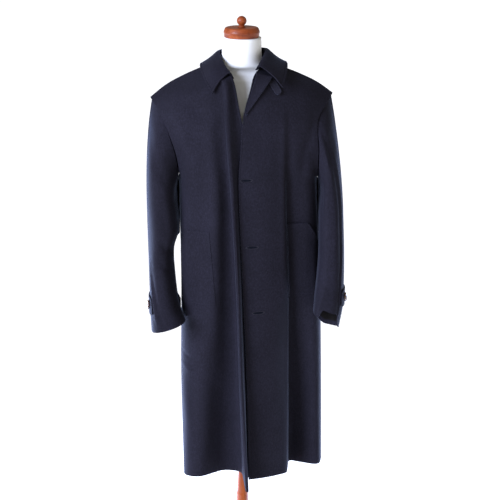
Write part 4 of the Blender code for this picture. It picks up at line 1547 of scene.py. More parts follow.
@dataclass
class Body:
    """The coat's two fronts and its back.

    Creases fade out over the calm distances from the sides and from the top.
    """

    finishes: Finishes
    spacing: float = 5.0
    calm_side: float = 25.0
    calm_top: float = 60.0
    facing_width: float = 75.0
    hem: float = 42.0
    shoulder_turn: float = 5.0
    seam_turn: float = 6.0
    right_creases: tuple[Crease, ...] = (
        Crease(((-215, 1325), (-170, 1240), (-150, 1150)), -4.0, 16),
        Crease(((-185, 1345), (-135, 1235), (-118, 1100)), 3.0, 20),
        Crease(((-76, 1350), (-68, 1200), (-70, 1000), (-76, 860)), 4.0, 20),
        Crease(((-176, 1378), (-125, 1350), (-74, 1322)), -5.0, 20),
        Crease(((-165, 1060), (-140, 900), (-128, 640)), 2.5, 22),
        Crease(((-60, 1040), (-80, 900), (-102, 700)), -3.0, 16),
        Crease(((-95, 760), (-80, 560), (-70, 330)), -3.0, 24),
        Crease(((-166, 668), (-150, 652), (-132, 650)), -2.0, 5),
        Crease(((-168, 640), (-152, 618), (-140, 606)), 1.8, 5),
        Crease(((-164, 600), (-150, 470), (-150, 330)), 3.0, 12),
    )
    left_creases: tuple[Crease, ...] = (
        Crease(((210, 1335), (176, 1250), (160, 1150)), -3.0, 14),
        Crease(((60, 1380), (75, 1250), (72, 1130)), 1.6, 22),
        Crease(((112, 1360), (114, 1212), (116, 1100), (119, 900)), 2.2, 7),
        Crease(((127, 1360), (129, 1212), (132, 1060), (137, 860)), -3.5, 11),
        Crease(((124, 840), (125, 700), (125, 560), (124, 450)), -6.0, 15),
        Crease(((40, 415), (70, 400), (112, 380)), -1.6, 9),
        Crease(((55, 445), (85, 428), (118, 415)), 1.3, 9),
        Crease(((30, 900), (50, 700), (56, 520)), 1.6, 24),
        Crease(((165, 760), (168, 560), (176, 340)), -4.0, 18),
        Crease(((196, 1100), (188, 900), (192, 700)), -2.5, 14),
    )
    back_creases: tuple[Crease, ...] = (
        Crease(((150, 1330), (105, 1240), (88, 1120)), -5.0, 20),
        Crease(((-150, 1320), (-105, 1235), (-84, 1100)), -4.0, 22),
        Crease(((20, 1180), (30, 800), (22, 320)), -6.0, 26),
        Crease(((90, 1000), (100, 700), (112, 310)), 5.0, 26),
        Crease(((-70, 1050), (-78, 700), (-96, 310)), 6.0, 30),
        Crease(((-130, 880), (-134, 600), (-140, 320)), -4.0, 18),
        Crease(((150, 860), (160, 600), (165, 320)), -4.0, 18),
        Crease(((-40, 1415), (0, 1400), (44, 1416)), -2.0, 8),
    )
    right: Array = field(init=False)
    left: Array = field(init=False)
    back: Array = field(init=False)

    def __post_init__(self) -> None:
        """Works out the three finished sheets."""
        self.right = self._finish(right_front_base(), self.right_creases, ["first"], -1)
        self.left = self._finish(left_front_base(), self.left_creases, ["last"], -1)
        self.back = self._finish(back_base(), self.back_creases, [], 1)

    def _finish(self, grid: Array, creases: Iterable[Crease], sewn: Sequence[str],
                facing: int) -> Array:
        """Spaces a panel's points, and adds its creases and its sewn groove.

        Args:
            grid: the panel's sheet.
            creases: its ridges and troughs, in the plane of x and z.
            sewn: its edges with a groove.
            facing: the sign of y towards which it faces.

        Returns:
            The finished sheet.
        """
        start, end = (STITCH_EDGE if edge in sewn else PLAIN_EDGE for edge in ("first", "last"))
        grid = respaced(grid, 1, self.spacing, start, end)
        grid = respaced(grid, 0, self.spacing, HEM_EDGE, PLAIN_EDGE)
        run, up = lengths_along(grid, 1), lengths_along(grid, 0)
        seam = np.clip(np.minimum(run, run[:, -1:] - run) / self.calm_side, 0, 1)
        top = np.clip((up[-1:] - up) / self.calm_top, 0, 1)
        turned = np.clip(sheet_normals(grid)[..., 1] * facing * 2, 0, 1)
        height = relief(grid[..., [0, 2]], (*creases, *PANEL_WAVES)) * (seam * top * turned)
        grid = grid + sheet_normals(grid) * height[..., None]
        return grooved(grid, sewn) if sewn else grid

    def build(self) -> None:
        """Makes the stitching of the two fronts, then the three panels."""
        f = self.finishes
        wide, narrow = self.facing_width, self.seam_turn
        sheets = {
            "front_right": (drawn_in(self.right, 0, SEAM_GAP, 0, SEAM_GAP), (wide, narrow)),
            "front_left": (drawn_in(self.left, 0, SEAM_GAP, SEAM_GAP, 0), (narrow, wide)),
            "back": (drawn_in(self.back, 0, SEAM_GAP, SEAM_GAP, SEAM_GAP), (narrow, narrow)),
        }
        trims = {
            name: [stitched(f"{name}_stitching", [inset_line(sheet, edge, STITCH_INSET)],
                            f.thread)]
            for name, sheet, edge in (("front_right", self.right, "first"),
                                      ("front_left", self.left, "last"))
        }
        for name, (grid, turns) in sheets.items():
            obj = cloth_piece(f"{name}_cloth", grid, CLOTH, f.lined,
                              (self.hem, self.shoulder_turn, *turns))
            dress(obj, "navy_wool", name)
            declare_cloth(grid)


@dataclass
class Sleeve:
    """One sleeve of two halves, with its cuff tab and button.

    Angles are in degrees round the sleeve from straight out, positive to the front.
    Creases fade out over the calm distances from the seams and from the top.
    """

    side: Side
    finishes: Finishes
    creases: dict[Half, tuple[Crease, ...]]
    spacing: float = 4.0
    hem: float = 9.0
    seam_turn: float = 4.0
    tab_bottom: float = 782.0
    tab_width: float = 44.0
    tab_angles: tuple[float, float] = (-100.0, 44.0)
    tab_lift: float = 1.4
    tab_spacing: float = 3.0
    tab_tip: float = 14.0
    tab_taper: float = 0.22
    button_angle: float = 17.0
    button_lift: float = 2.1
    calm_side: float = 14.0
    calm_top: float = 40.0
    seam_ridge: float = 0.9
    seam_width: float = 2.4
    seam_fade: float = 60.0

    def half(self, half: Half) -> Array:
        """The finished sheet of one half.

        Its creases and waves lie in the plane of degrees round the sleeve and height, and
        a ridge runs down the outer seam.

        Args:
            half: which half.

        Returns:
            (rows, columns, 3) sheet, in order from the outer to the inner seam.
        """
        grid = respaced(sleeve_base(self.side, half), 0, self.spacing, HEM_EDGE, PLAIN_EDGE)
        grid = respaced(grid, 1, self.spacing, RIDGE_EDGE, PLAIN_EDGE)
        across = lengths_along(grid, 1)
        share = across / across[:, -1:]
        flip = self._flipped(half)
        shown = grid[:, ::-1] if flip else grid
        normals = sheet_normals(shown)
        normals = normals[:, ::-1] if flip else normals
        plane = np.stack([share * 180 * -half.value, grid[..., 2]], axis=2)
        height = relief(plane, (*self.creases[half], *SLEEVE_WAVES))
        up = lengths_along(grid, 0)
        below = up[-1:] - up
        seam = np.clip(np.minimum(across, across[:, -1:] - across) / self.calm_side, 0, 1)
        height *= seam * np.clip(below / self.calm_top, 0, 1)
        ridge = self.seam_ridge * np.exp(-((across / self.seam_width) ** 2))
        height += ridge * np.clip(below / self.seam_fade, 0, 1)
        return grid + normals * height[..., None]

    def _flipped(self, half: Half) -> bool:
        """True if the half's columns run rightwards seen from outside."""
        return self.side.value * half.value > 0

    def build(self) -> None:
        """Makes both halves, the tab with its stitching, and the button."""
        for half in Half:
            grid = self.half(half)
            grid = grid[:, ::-1] if self._flipped(half) else grid
            sew(self.finishes, f"sleeve_{self.side.word}_{half.word}", grid,
                f"front_{self.side.word}_cloth", materials=self.finishes.lined_sleeve,
                facing=(self.hem, *[self.seam_turn] * 3))
        self._tab()
        self._button()

    def _ring(self, degrees: Array) -> Array:
        """The sleeve's rings over a range of angles.

        Args:
            degrees: angles round the sleeve.

        Returns:
            (rows, angles, 3) sheet from the cuff upwards, facing outwards.
        """
        table = ring_table(self.side, 40)
        angles = np.radians(degrees)
        front = ring_points(table, np.maximum(angles, 0), Half.FRONT)
        back = ring_points(table, np.maximum(-angles, 0), Half.BACK)
        ring = np.where((angles >= 0)[None, :, None], front, back)[::-1]
        return ring if self.side is Side.LEFT else ring[:, ::-1]

    def _tab(self) -> None:
        """The tab round the cuff's outer side, sewn in at the back, tapered to its tip."""
        word = self.side.word
        ring = self._ring(np.linspace(*self.tab_angles, 60))
        ring = ring + sheet_normals(ring) * (self.tab_lift + CLOTH)
        rows = np.linspace(0, self.tab_width, 24) + self.tab_bottom
        grid = np.stack([read_at(rows, column[:, 2], column)
                         for column in ring.transpose(1, 0, 2)], axis=1)
        front_last = self.side is Side.LEFT
        grid = grid if front_last else grid[:, ::-1]
        grid = respaced(grid, 1, self.tab_spacing, PLAIN_EDGE, STITCH_EDGE)
        grid = respaced(grid, 0, self.tab_spacing, STITCH_EDGE, STITCH_EDGE)
        run = lengths_along(grid, 1)
        tip = np.clip(1 - (run[:, -1:] - run) / self.tab_tip, 0, 1)
        middle = (grid[:1] + grid[-1:]) / 2
        grid = middle + (grid - middle) * (1 - self.tab_taper * tip**2)[..., None]
        grid = grid if front_last else grid[:, ::-1]
        ends = ["bottom", "top", "last" if front_last else "first"]
        sew(self.finishes, f"cuff_tab_{word}", grooved(grid, ends, depth=0.35),
            f"sleeve_{word}_front_cloth", ends)

    def _button(self) -> None:
        """The button at the tab's tip, on the sleeve's ring at half the tab's height."""
        spot = self._ring(self.button_angle + np.array([-3.0, 0.0, 3.0]))
        line, normal = spot[:, 1], sheet_normals(spot)[:, 1]
        height = self.tab_bottom + self.tab_width / 2
        axis = unit(read_at(height, line[:, 2], normal))
        centre = read_at(height, line[:, 2], line) + axis * (self.button_lift + CLOTH)
        node = f"cuff_button_{self.side.word}"
        Button(self.finishes).build(f"{node}_horn", centre, axis, node)


@dataclass
class Button:
    """A round horn button with a raised rim, four holes and crossed thread.

    The face's shares are of the radius across and of the thickness upwards.
    """

    finishes: Finishes
    radius: float = 12.5
    thickness: float = 4.0
    hole_radius: float = 1.15
    hole_place: float = 3.0 / 1.42
    hole_depth: float = 2.2
    hole_slope: float = 0.12
    dish: float = 0.72
    rim: float = 0.86
    rim_width: float = 0.13
    rounding: float = 0.10
    outer_edge: float = 0.45
    under_edge: float = 0.9
    under: float = 0.93
    sides: int = 96

    def build(self, name: str, centre: Array, axis: Array, node: str) -> None:
        """Makes the button and its thread.

        The face is a polar sheet whose height is a rounded rim, a shallow dish and four
        steep wells. The back is flat.

        Args:
            name: the piece's name.
            centre: middle of its back, in mm.
            axis: unit vector out of the cloth.
            node: the CAD node that it stands for.
        """
        level = unit(np.cross([0, 0, 1], axis))
        frame_rows = np.stack([level, np.cross(axis, level), axis])
        turn = np.arange(self.sides) / self.sides * math.tau
        share = np.concatenate([np.linspace(0.02, self.rim, 36), [0.90, 0.94, 0.97, 0.99, 1.0]])
        r, a = np.meshgrid(share * self.radius, turn, indexing="ij")
        x, y = r * np.cos(a), r * np.sin(a)
        s = r / self.radius
        rim = np.exp(-(((s - self.rim) / self.rim_width) ** 2))
        top = self.thickness * (self.dish + (1 - self.dish) * rim)
        past = ((s - (1 - self.rounding)) / self.rounding).clip(0)
        edge = np.sqrt(np.clip(1 - past**2, 0, 1))
        top *= self.outer_edge + (1 - self.outer_edge) * edge
        for hole_x in (self.hole_place, -self.hole_place):
            for hole_y in (self.hole_place, -self.hole_place):
                gap = np.hypot(x - hole_x, y - hole_y)
                top -= self.hole_depth / (1 + np.exp((gap - self.hole_radius) / self.hole_slope))
        face = np.stack([x, y, top], axis=2)
        circle = np.stack([self.radius * np.cos(turn), self.radius * np.sin(turn), 0 * turn], 1)
        side, back = circle + [0, 0, self.under_edge], circle * self.under
        rings = np.concatenate([face, side[None], back[None]])
        faces = quads(len(rings), self.sides, round_it=True)[:, ::-1].tolist()
        around = list(range(self.sides))
        last = (len(rings) - 1) * self.sides
        faces += [around, [last + i for i in reversed(around)]]
        points = centre + rings.reshape(-1, 3) @ frame_rows
        dress(mesh_piece(name, points, faces, [self.finishes.horn]), "horn_button", node)
        self._thread(f"{name}_thread", centre, frame_rows)

    def _thread(self, name: str, centre: Array, frame_rows: Array) -> None:
        """Two bars of three threads each, arched from hole to hole.

        Args:
            name: the piece's name.
            centre: middle of the button's back, in mm.
            frame_rows: the button's two flat directions and its axis.
        """
        reach = self.hole_place
        run = np.linspace(-reach - 0.4, reach + 0.4, 9)
        lift = self.thickness * 0.74 + 0.5 * (1 - (run / reach) ** 2)
        lines = []
        for shift in (-reach, reach):
            for bar in np.linspace(-0.5, 0.5, 3):
                local = np.stack([np.full(len(run), shift + bar), run, lift], axis=1)
                normals = np.tile(frame_rows[2], (len(run), 1))
                lines.append((centre + local @ frame_rows, normals))
        single = Stitching(length=2 * reach + 1.2, gap=0.0, radius=0.28, lift=0.25)
        shown = mesh_piece(name, *single.mesh(lines), [self.finishes.thread])
        dress(shown, "navy_wool")


@dataclass
class CoatButtons:
    """The front buttons on the covered band."""

    placer: Placer
    finishes: Finishes
    x: float = 21.0
    heights: tuple[float, ...] = (788, 975, 1162)
    lift: float = 0.7

    def build(self) -> None:
        """Makes the three buttons on the right front's band."""
        for number, z in enumerate(self.heights, start=1):
            spot, normal = self.placer.lay(np.array([self.x]), np.array([z]), self.lift)
            node = f"front_button_{number}"
            Button(self.finishes).build(f"{node}_horn", spot[0], normal[0], node)


@dataclass
class Buttonholes:
    """Worked buttonholes in the left front: a slit between two purled lips.

    The purl is a ring of short stitches that point outwards, each in the plane of x
    and z, and the slit is a near-black lens inside it, painted shade of the opening.
    Both rise by the slope towards the left.
    """

    placer: Placer
    finishes: Finishes
    length: float = 29.0
    places: tuple[tuple[float, float], ...] = ((45.2, 788), (28.6, 975), (12.0, 1162))
    slope: float = 0.03
    purl_reach: float = 2.0
    purl_height: float = 4.0
    purl_lift: float = 0.15
    slit_height: float = 3.4
    slit_lift: float = 0.25

    def build(self) -> None:
        """Makes the slits, near-black lenses of painted shade, and their purl stitches."""
        half = self.length / 2
        turn = np.linspace(0, math.tau, 64, endpoint=False)
        out = unit(np.stack([np.cos(turn) * 0.25, 0 * turn, np.sin(turn)], axis=1))
        run = np.linspace(-1.0, 1.0, 3)[:, None]
        s, t = np.meshgrid(np.linspace(-1, 1, 25), np.linspace(-1, 1, 5), indexing="ij")
        lines, slits, faces = [], [], []
        for number, (x, z) in enumerate(self.places):
            ring_x = x + (half + self.purl_reach) * np.cos(turn)
            ring_z = z + self.purl_height * np.sin(turn) + self.slope * (ring_x - x)
            spot, normal = self.placer.lay(ring_x, ring_z, self.purl_lift)
            lines += [(place + way * run, np.tile(up, (3, 1)))
                      for place, way, up in zip(spot, out, normal)]
            # The lens is laid just over the cloth in the near-black shade finish: painted shade of
            # the slit's opening.
            lens_x = x + s * half
            lens = self.slit_height * np.sqrt(np.clip(1 - s**2, 0, 1))
            lens_z = z + t * lens + self.slope * (lens_x - x)
            slit, _ = self.placer.lay(lens_x, lens_z, self.slit_lift)
            slits.append(slit.reshape(-1, 3))
            faces.append(quads(*s.shape) + s.size * number)
        purl = Stitching(length=1.6, gap=-1.2, radius=0.42, lift=0.3)
        dress(mesh_piece("buttonhole_purl", *purl.mesh(lines), [self.finishes.purl]),
              "navy_wool")
        slit_shade_piece = mesh_piece("buttonhole_slit_shade", np.concatenate(slits),
                                np.concatenate(faces), [self.finishes.shade])
        dress(slit_shade_piece, "navy_wool")


@dataclass
class Collar:
    """The turned-down collar with its topstitched leaf."""

    finishes: Finishes
    spacing: float = 3.5
    wave_height: float = 0.4
    wave_lengths: tuple[float, float] = (23, 19)

    def build(self) -> None:
        """Makes the collar and its stitching."""
        grid = collar_base()
        grid = respaced(grid, 1, self.spacing, PLAIN_EDGE, STITCH_EDGE)
        grid = respaced(grid, 0, self.spacing, STITCH_EDGE, STITCH_EDGE)
        plane = np.stack([lengths_along(grid, 0), lengths_along(grid, 1)], axis=2)
        round_neck, across = plane[..., 0], plane[..., 1]
        height = self.wave_height * np.sin(round_neck / self.wave_lengths[0])
        height *= np.sin(across / self.wave_lengths[1] + 1)
        grid = grid + sheet_normals(grid) * height[..., None]
        sewn = ["bottom", "last", "top"]
        grid = grooved(grid, sewn, depth=0.8)
        leaf = grid[:, grid.shape[1] // 2 :]
        sew(self.finishes, "collar", grid, "back_cloth", sewn, sewn=leaf,
            thickness=COLLAR_CLOTH, edge=1.0)


@dataclass
class TurnedCorner:
    """The left front's top corner, rolled back, and the throat latch under the collar."""

    placer: Placer
    finishes: Finishes
    foot: tuple[float, float] = (5.0, 1335.0)
    top: tuple[float, float] = (38.0, 1448.0)
    corner: tuple[float, float] = (76.0, 1432.0)
    shift: tuple[float, float] = (1.0, -2.0)
    least_lift: float = 1.45
    lift: float = 8.0
    latch_start: tuple[float, float] = (78.0, 1427.0)
    latch_end: tuple[float, float] = (99.5, 1390.0)
    latch_width: float = 17.0
    latch_lift: float = 0.85
    latch_curl: float = 4.5
    latch_inset: float = 4.0

    def build(self) -> None:
        """Makes the turned corner and the latch, with their stitching."""
        up, out = np.meshgrid(np.linspace(0.05, 1, 41), np.linspace(0, 1, 31), indexing="ij")
        foot, top, corner = map(np.array, (self.foot, self.top, self.corner))
        roll = foot + (top - foot) * up[..., None]
        edge = foot + (corner - foot) * up[..., None]
        flat = roll + (edge - roll) * out[..., None] + np.array(self.shift)
        height = self.least_lift + CLOTH + self.lift * out**2 * up
        grid, _ = self.placer.lay(flat[..., 0], flat[..., 1], height)
        grid = respaced(respaced(grid[:, ::-1], 1, 2.5), 0, 3.0)
        sewn = ["first", "top"]
        sew(self.finishes, "facing_left", grooved(grid, sewn, depth=0.35), "front_left_cloth",
            sewn)
        self._latch()

    def _latch(self) -> None:
        """The latch: a strap with a rounded end, whose points gather towards the end."""
        start, end = np.array(self.latch_start), np.array(self.latch_end)
        reach = float(np.linalg.norm(end - start))
        along = (end - start) / reach
        across = np.array([along[1], -along[0]])
        distance = reach * (1 - (1 - np.linspace(0, 1, 30)) ** 1.6)
        half = self.latch_width / 2
        left = reach - distance
        width = np.where(left < half, np.sqrt(np.maximum(half**2 - (half - left) ** 2, 2.0)), half)
        side = np.linspace(-1, 1, 11)
        place = (start + along * distance[:, None, None]
                 + across * (width[:, None] * side)[:, :, None])
        height = self.latch_lift + CLOTH + self.latch_curl * (distance / reach)[:, None] ** 2
        grid, _ = self.placer.lay(place[..., 0], place[..., 1], height)
        sewn = ["first", "last"]
        grid = grooved(grid[::-1], sewn, inset=self.latch_inset, depth=0.5)
        # The latch is in the lighter edge wool: painted highlight that sets it off against the
        # shade under the collar.
        sew(self.finishes, "throat_latch", grid, "front_left_cloth", sewn,
            inset=self.latch_inset, materials=[self.finishes.edge])


@dataclass
class Pocket:
    """A patch pocket on one front, its outer top corner cut off for the hand.

    It starts at the first point past start_x and is so wide as it reaches.
    """

    side: Side
    front: Array
    finishes: Finishes
    bottom: float
    start_x: float
    reach: float
    height: float = 212.0
    slant: float = 66.0
    slant_start: float = 0.62
    spacing: float = 4.0
    cloth: float = 1.6
    gap: float = 0.15
    mouth_gap: float = 0.0
    mouth_depth: float = 34.0
    groove: float = 0.4
    clear_of_edge: float = 40.0

    def _gaping(self, grid: Array) -> Array:
        """The pocket with its mouth standing off the front.

        The lift is a bell along the top edge, and fades down over the mouth's depth.

        Args:
            grid: (rows, columns, 3) pocket.

        Returns:
            The same, lifted.
        """
        across, up = lengths_along(grid, 1), lengths_along(grid, 0)
        bell = np.sin(math.pi * across / across[:, -1:]).clip(0) ** 0.6
        fade = np.clip(1 - (up[-1:] - up) / self.mouth_depth, 0, 1) ** 2
        return grid + sheet_normals(grid) * (self.mouth_gap * bell * fade)[..., None]

    def build(self) -> None:
        """Makes the pocket from the front's own points, moved out, and its stitching."""
        lifted = self.front + sheet_normals(self.front) * (self.gap + self.cloth)
        middle = self.bottom + self.height / 2
        row = int(np.abs(lifted[:, 0, 2] - middle).argmin())
        run = lengths_along(lifted, 1)[row]
        beyond = lifted[row, :, 0] < self.start_x
        if self.side is Side.RIGHT:
            beyond &= sheet_normals(self.front)[row, :, 1] < -0.5
            beyond &= np.arange(len(run)) > np.argmin(lifted[row, :, 1])
        else:
            beyond &= run > self.clear_of_edge
        first = int(np.where(beyond)[0][0])
        last = int(np.abs(run - run[first] - self.reach).argmin())
        strip = lifted[:, first : last + 1]
        share = run_of(strip[row])
        share /= share[-1]
        share = share if self.side is Side.RIGHT else 1 - share
        slant = np.clip((share - self.slant_start) / (1 - self.slant_start), 0, 1)
        tops = self.bottom + self.height - self.slant * slant
        rows = np.linspace(0, 1, 60)
        grid = np.stack(
            [read_at(self.bottom + rows * (top - self.bottom), column[:, 2], column)
             for top, column in zip(tops, strip.transpose(1, 0, 2))], axis=1)
        for axis in (1, 0):
            grid = respaced(grid, axis, self.spacing, STITCH_EDGE, STITCH_EDGE)
        edges = ["first", "last", "bottom", "top"]
        sew(self.finishes, f"pocket_{self.side.word}",
            grooved(self._gaping(grid), edges, depth=self.groove),
            f"front_{self.side.word}_cloth", edges, thickness=self.cloth, edge=0.5)


@dataclass
class DressForm:
    """The limbless form: a jersey-covered torso, its turned cap, knob, pole and base."""

    finishes: Finishes
    sides: int = 96
    cap_radius: float = 49.0
    cap_bottom: float = 1529.4
    cap_top: float = 1557.0
    knob_radius: float = 13.3
    knob_centre: float = 1574.0

    def _lathe(self, name: str, profile: Sequence[Row], material: Material,
               node: str, sides: int) -> None:
        """A body turned about the pole's axis.

        Args:
            name: the piece's name.
            profile: (radius, height) in mm from top to bottom, both ends on the axis.
            material: its finish.
            node: the CAD node that it stands for.
            sides: points round it.
        """
        line = np.array(profile[1:-1], float)
        angle = np.arange(sides) / sides * math.tau
        ring = np.stack([np.cos(angle), np.sin(angle)], axis=1)
        points = np.concatenate(
            [line[:, None, :1] * ring, np.repeat(line[:, None, 1:], sides, axis=1)], axis=2
        )[::-1]
        faces = quads(len(line), sides, round_it=True)[:, ::-1].tolist()
        top, low = (len(line) - 1) * sides, len(line) * sides
        after = [(i + 1) % sides for i in range(sides)]
        faces += [[low, after[i], i] for i in range(sides)]
        faces += [[low + 1, top + i, top + after[i]] for i in range(sides)]
        poles = [[0, 0, profile[-1][1]], [0, 0, profile[0][1]]]
        obj = mesh_piece(name, np.concatenate([points.reshape(-1, 3), poles]), faces,
                         [material])
        dress(obj, "varnished_wood", node)

    @staticmethod
    def _arc(centre: Row, radius: float, start: float, end: float, steps: int = 10) -> list[Row]:
        """Points of a circular arc in the profile plane.

        Args:
            centre: its radius and height on the lathe.
            radius: the arc's own.
            start: first angle, in degrees from straight up towards the outside.
            end: last angle.
            steps: points.

        Returns:
            Pairs of radius and height, in mm.
        """
        angle = np.radians(np.linspace(start, end, steps))
        return np.stack([centre[0] + radius * np.sin(angle),
                         centre[1] + radius * np.cos(angle)], axis=1).tolist()

    def build(self) -> None:
        """Makes the torso, whose rings are squarish ovals, and the turned pieces."""
        f = self.finishes
        rings = spline(FORM_RINGS, np.linspace(0, len(FORM_RINGS) - 1, 151))
        z, half, front, back, power = (rings[:, k : k + 1] for k in range(5))
        angle = np.arange(self.sides) / self.sides * math.tau
        across = squared_off(np.cos(angle), 2 / power)
        along = squared_off(np.sin(angle), 2 / power)
        points = np.stack([half * across, (front + back) / 2 + (back - front) / 2 * along,
                           z + 0 * across], axis=2)
        faces = quads(len(points), self.sides, round_it=True)[:, ::-1].tolist()
        faces.append(list(range(self.sides))[::-1])
        faces.append([(len(points) - 1) * self.sides + i for i in range(self.sides)])
        torso = mesh_piece("form_torso_jersey", points.reshape(-1, 3), faces, [f.jersey])
        dress(torso, "form_cotton", "form_torso")
        r, top, low = self.cap_radius, self.cap_top, self.cap_bottom
        cap = [(0, top), *self._arc((r - 9, top - 7), 7, 0, 60, 6),
               *self._arc((r - 8.2, (top + low) / 2 + 1), 8.2, 60, 120, 10),
               *self._arc((r - 6, low + 5), 5, 110, 180, 6), (0, low)]
        self._lathe("neck_cap_wood", cap, f.red_wood, "neck_cap", self.sides)
        k, c = self.knob_radius, self.knob_centre
        knob = [(0, c + k), *self._arc((0, c), k, 3, 145, 22), (6.2, c - 12.6),
                (6.6, c - 13.6), (9.2, c - 14.4), (10.4, c - 15.4), (10.5, top + 0.3),
                (0, top + 0.3)]
        self._lathe("cap_knob_wood", knob, f.red_wood, "cap_knob", 64)
        pole = [(0, 761.7), (10.5, 761.7), (10.5, 304), (10.8, 292), (12.2, 262),
                (13.9, 234), (15.0, 220), (16.6, 214), (17.2, 210), (17.0, 207.5),
                (16.0, 206), (16.0, 204), (16.8, 201.5), (16.8, 40), (17.4, 30),
                (18.4, 24.3), (0, 24.3)]
        self._lathe("stand_pole_wood", pole, f.orange_wood, "stand_pole", 64)
        base = [(0, 24), (150, 24), *self._arc((158, 14), 10, 0, 90, 10)[1:],
                (169, 12), *self._arc((164, 6), 6, 90, 180, 8), (0, 0)]
        self._lathe("stand_base_wood", base, f.orange_wood, "stand_base", 128)


@dataclass
class Studio:
    """Floor, light and camera."""

    camera_place: Row = (0.0224, -4.72, 2.1985)
    camera_pitch: float = 75.0
    lens: float = 126.0
    sensor: float = 36.0
    view_limit: float = 200.0
    sky: float = 0.34
    sky_tint: Row = (1.0, 0.955, 0.85)
    sun_strength: float = 5.0
    sun_tint: Row = (0.90, 1.0, 1.31)
    sun_from: Row = (-0.94, -0.82, 0.38)
    sun_width: float = 36.0
    rim_tint: Row = (0.68, 0.85, 1.30)
    rim_size: float = 0.7

    def build(self) -> None:
        """Makes the floor, the surroundings, the soft lights and the camera."""
        corners = np.array([[-30, -30, 0], [30, -30, 0], [30, 40, 0], [-30, 40, 0]]) / MM
        mesh_piece("studio_floor", corners, [[0, 1, 2, 3]], [Paper().build()])
        self._surroundings()
        self._sun()
        self._light("rim_right", (-1.05, 0.50, 0.30), (-0.2, 0, 0.5), 60)
        self._light("rim_left", (1.10, 0.50, 0.12), (0.2, 0, 0.35), 34)
        self._camera()

    def _surroundings(self) -> None:
        """A warm sky that lights the object, and pure white where the camera sees it."""
        world = bpy.data.worlds.new("studio")
        world.use_nodes = True
        nodes, links = world.node_tree.nodes, world.node_tree.links
        background = nodes["Background"]
        background.inputs[0].default_value = colour(*self.sky_tint)
        background.inputs[1].default_value = self.sky
        backdrop = nodes.new("ShaderNodeBackground")
        backdrop.inputs[0].default_value = colour(1.0, 1.0, 1.0)
        seen, both = nodes.new("ShaderNodeLightPath"), nodes.new("ShaderNodeMixShader")
        links.new(seen.outputs["Is Camera Ray"], both.inputs[0])
        links.new(background.outputs[0], both.inputs[1])
        links.new(backdrop.outputs[0], both.inputs[2])
        links.new(both.outputs[0], nodes["World Output"].inputs[0])
        bpy.context.scene.world = world
        bpy.context.scene.view_settings.view_transform = "Standard"

    def _camera(self) -> None:
        """The camera, from above the collar's height and tilted down."""
        data = bpy.data.cameras.new("camera")
        data.lens = self.lens
        data.sensor_width = self.sensor
        data.clip_end = self.view_limit
        camera = bpy.data.objects.new("camera", data)
        camera.location = self.camera_place
        camera.rotation_euler = (math.radians(self.camera_pitch), 0, 0)
        bpy.context.scene.collection.objects.link(camera)
        bpy.context.scene.camera = camera

    def _sun(self) -> None:
        """One wide soft sun, like a window, its width in degrees."""
        data = bpy.data.lights.new("window_light", "SUN")
        data.energy = self.sun_strength
        data.color = self.sun_tint
        data.angle = math.radians(self.sun_width)
        sun = bpy.data.objects.new("window_light", data)
        sun.rotation_euler = Vector(self.sun_from).to_track_quat("Z", "Y").to_euler()
        bpy.context.scene.collection.objects.link(sun)

    def _light(self, name: str, place: Row, target: Row, power: float) -> None:
        """One square soft box that lights a rim.

        Args:
            name: its name.
            place: where it hangs, in metres.
            target: the point that it faces.
            power: in watts.
        """
        data = bpy.data.lights.new(name, "AREA")
        data.shape = "SQUARE"
        data.size = self.rim_size
        data.energy = power
        data.color = self.rim_tint
        light = bpy.data.objects.new(name, data)
        light.location = place
        way = Vector(target) - Vector(place)
        light.rotation_euler = way.to_track_quat("-Z", "Y").to_euler()
        light.visible_camera = False
        bpy.context.scene.collection.objects.link(light)


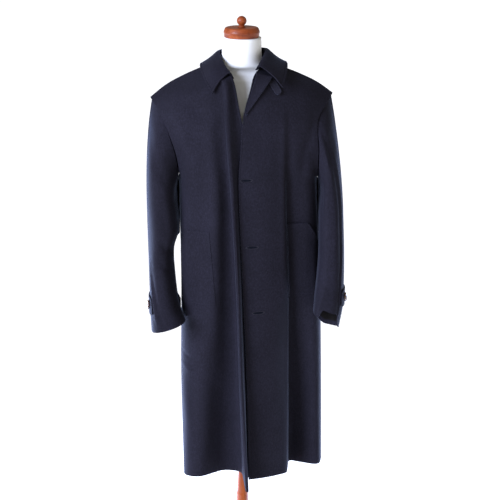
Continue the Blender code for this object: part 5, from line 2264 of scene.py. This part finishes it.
SLEEVE_CREASES: dict[Side, dict[Half, tuple[Crease, ...]]] = {
    Side.RIGHT: {
        Half.FRONT: (
            Crease(((20, 1290), (60, 1200), (120, 1130)), -3.0, 14),
            Crease(((70, 1000), (110, 960), (160, 940)), -2.6, 11),
            Crease(((75, 940), (115, 905), (165, 890)), -2.2, 10),
            Crease(((90, 1100), (100, 1000), (100, 900)), -4.0, 16),
            Crease(((44, 930), (54, 850), (64, 745)), 3.2, 8),
            Crease(((58, 900), (70, 830), (82, 760)), -2.0, 7),
        ),
        Half.BACK: (
            Crease(((-20, 1290), (-70, 1210), (-120, 1140)), -3.5, 16),
            Crease(((-40, 960), (-90, 930), (-150, 930)), -3.0, 12),
            Crease(((-50, 900), (-100, 870), (-150, 865)), 2.5, 10),
        ),
    },
    Side.LEFT: {
        Half.FRONT: (
            Crease(((20, 1300), (60, 1210), (120, 1140)), -3.0, 14),
            Crease(((70, 1010), (110, 980), (150, 960)), -2.2, 10),
            Crease(((70, 930), (105, 900), (150, 890)), -2.2, 10),
            Crease(((100, 870), (130, 820), (150, 790)), 3.0, 12),
            Crease(((43, 1330), (45, 1150), (47, 950), (56, 740)), 2.6, 4.5),
            Crease(((54, 1330), (56, 1150), (58, 950), (67, 740)), -1.8, 5),
            Crease(((132, 1250), (134, 1050), (136, 850)), -2.0, 10),
        ),
        Half.BACK: (
            Crease(((-20, 1300), (-70, 1215), (-120, 1145)), -3.0, 16),
            Crease(((-50, 965), (-100, 940), (-150, 940)), -3.0, 12),
            Crease(((-40, 890), (-90, 865), (-150, 860)), 2.5, 10),
        ),
    },
}


def main() -> None:
    """Builds every sub-assembly in order."""
    finishes = Finishes()
    Studio().build()
    body = Body(finishes)
    body.build()
    Sleeve(Side.RIGHT, finishes, SLEEVE_CREASES[Side.RIGHT]).build()
    Sleeve(Side.LEFT, finishes, SLEEVE_CREASES[Side.LEFT], tab_bottom=812.0).build()
    left, right = Placer(body.left), Placer(body.right)
    Collar(finishes).build()
    TurnedCorner(left, finishes).build()
    Buttonholes(left, finishes).build()
    CoatButtons(right, finishes).build()
    Pocket(Side.RIGHT, body.right, finishes, bottom=806, start_x=-72, reach=118,
           cloth=1.2, groove=0.12).build()
    Pocket(Side.LEFT, body.left, finishes, bottom=819, start_x=212, reach=110,
           mouth_gap=3.5).build()
    DressForm(finishes).build()


if __name__ == "__main__":
    main()
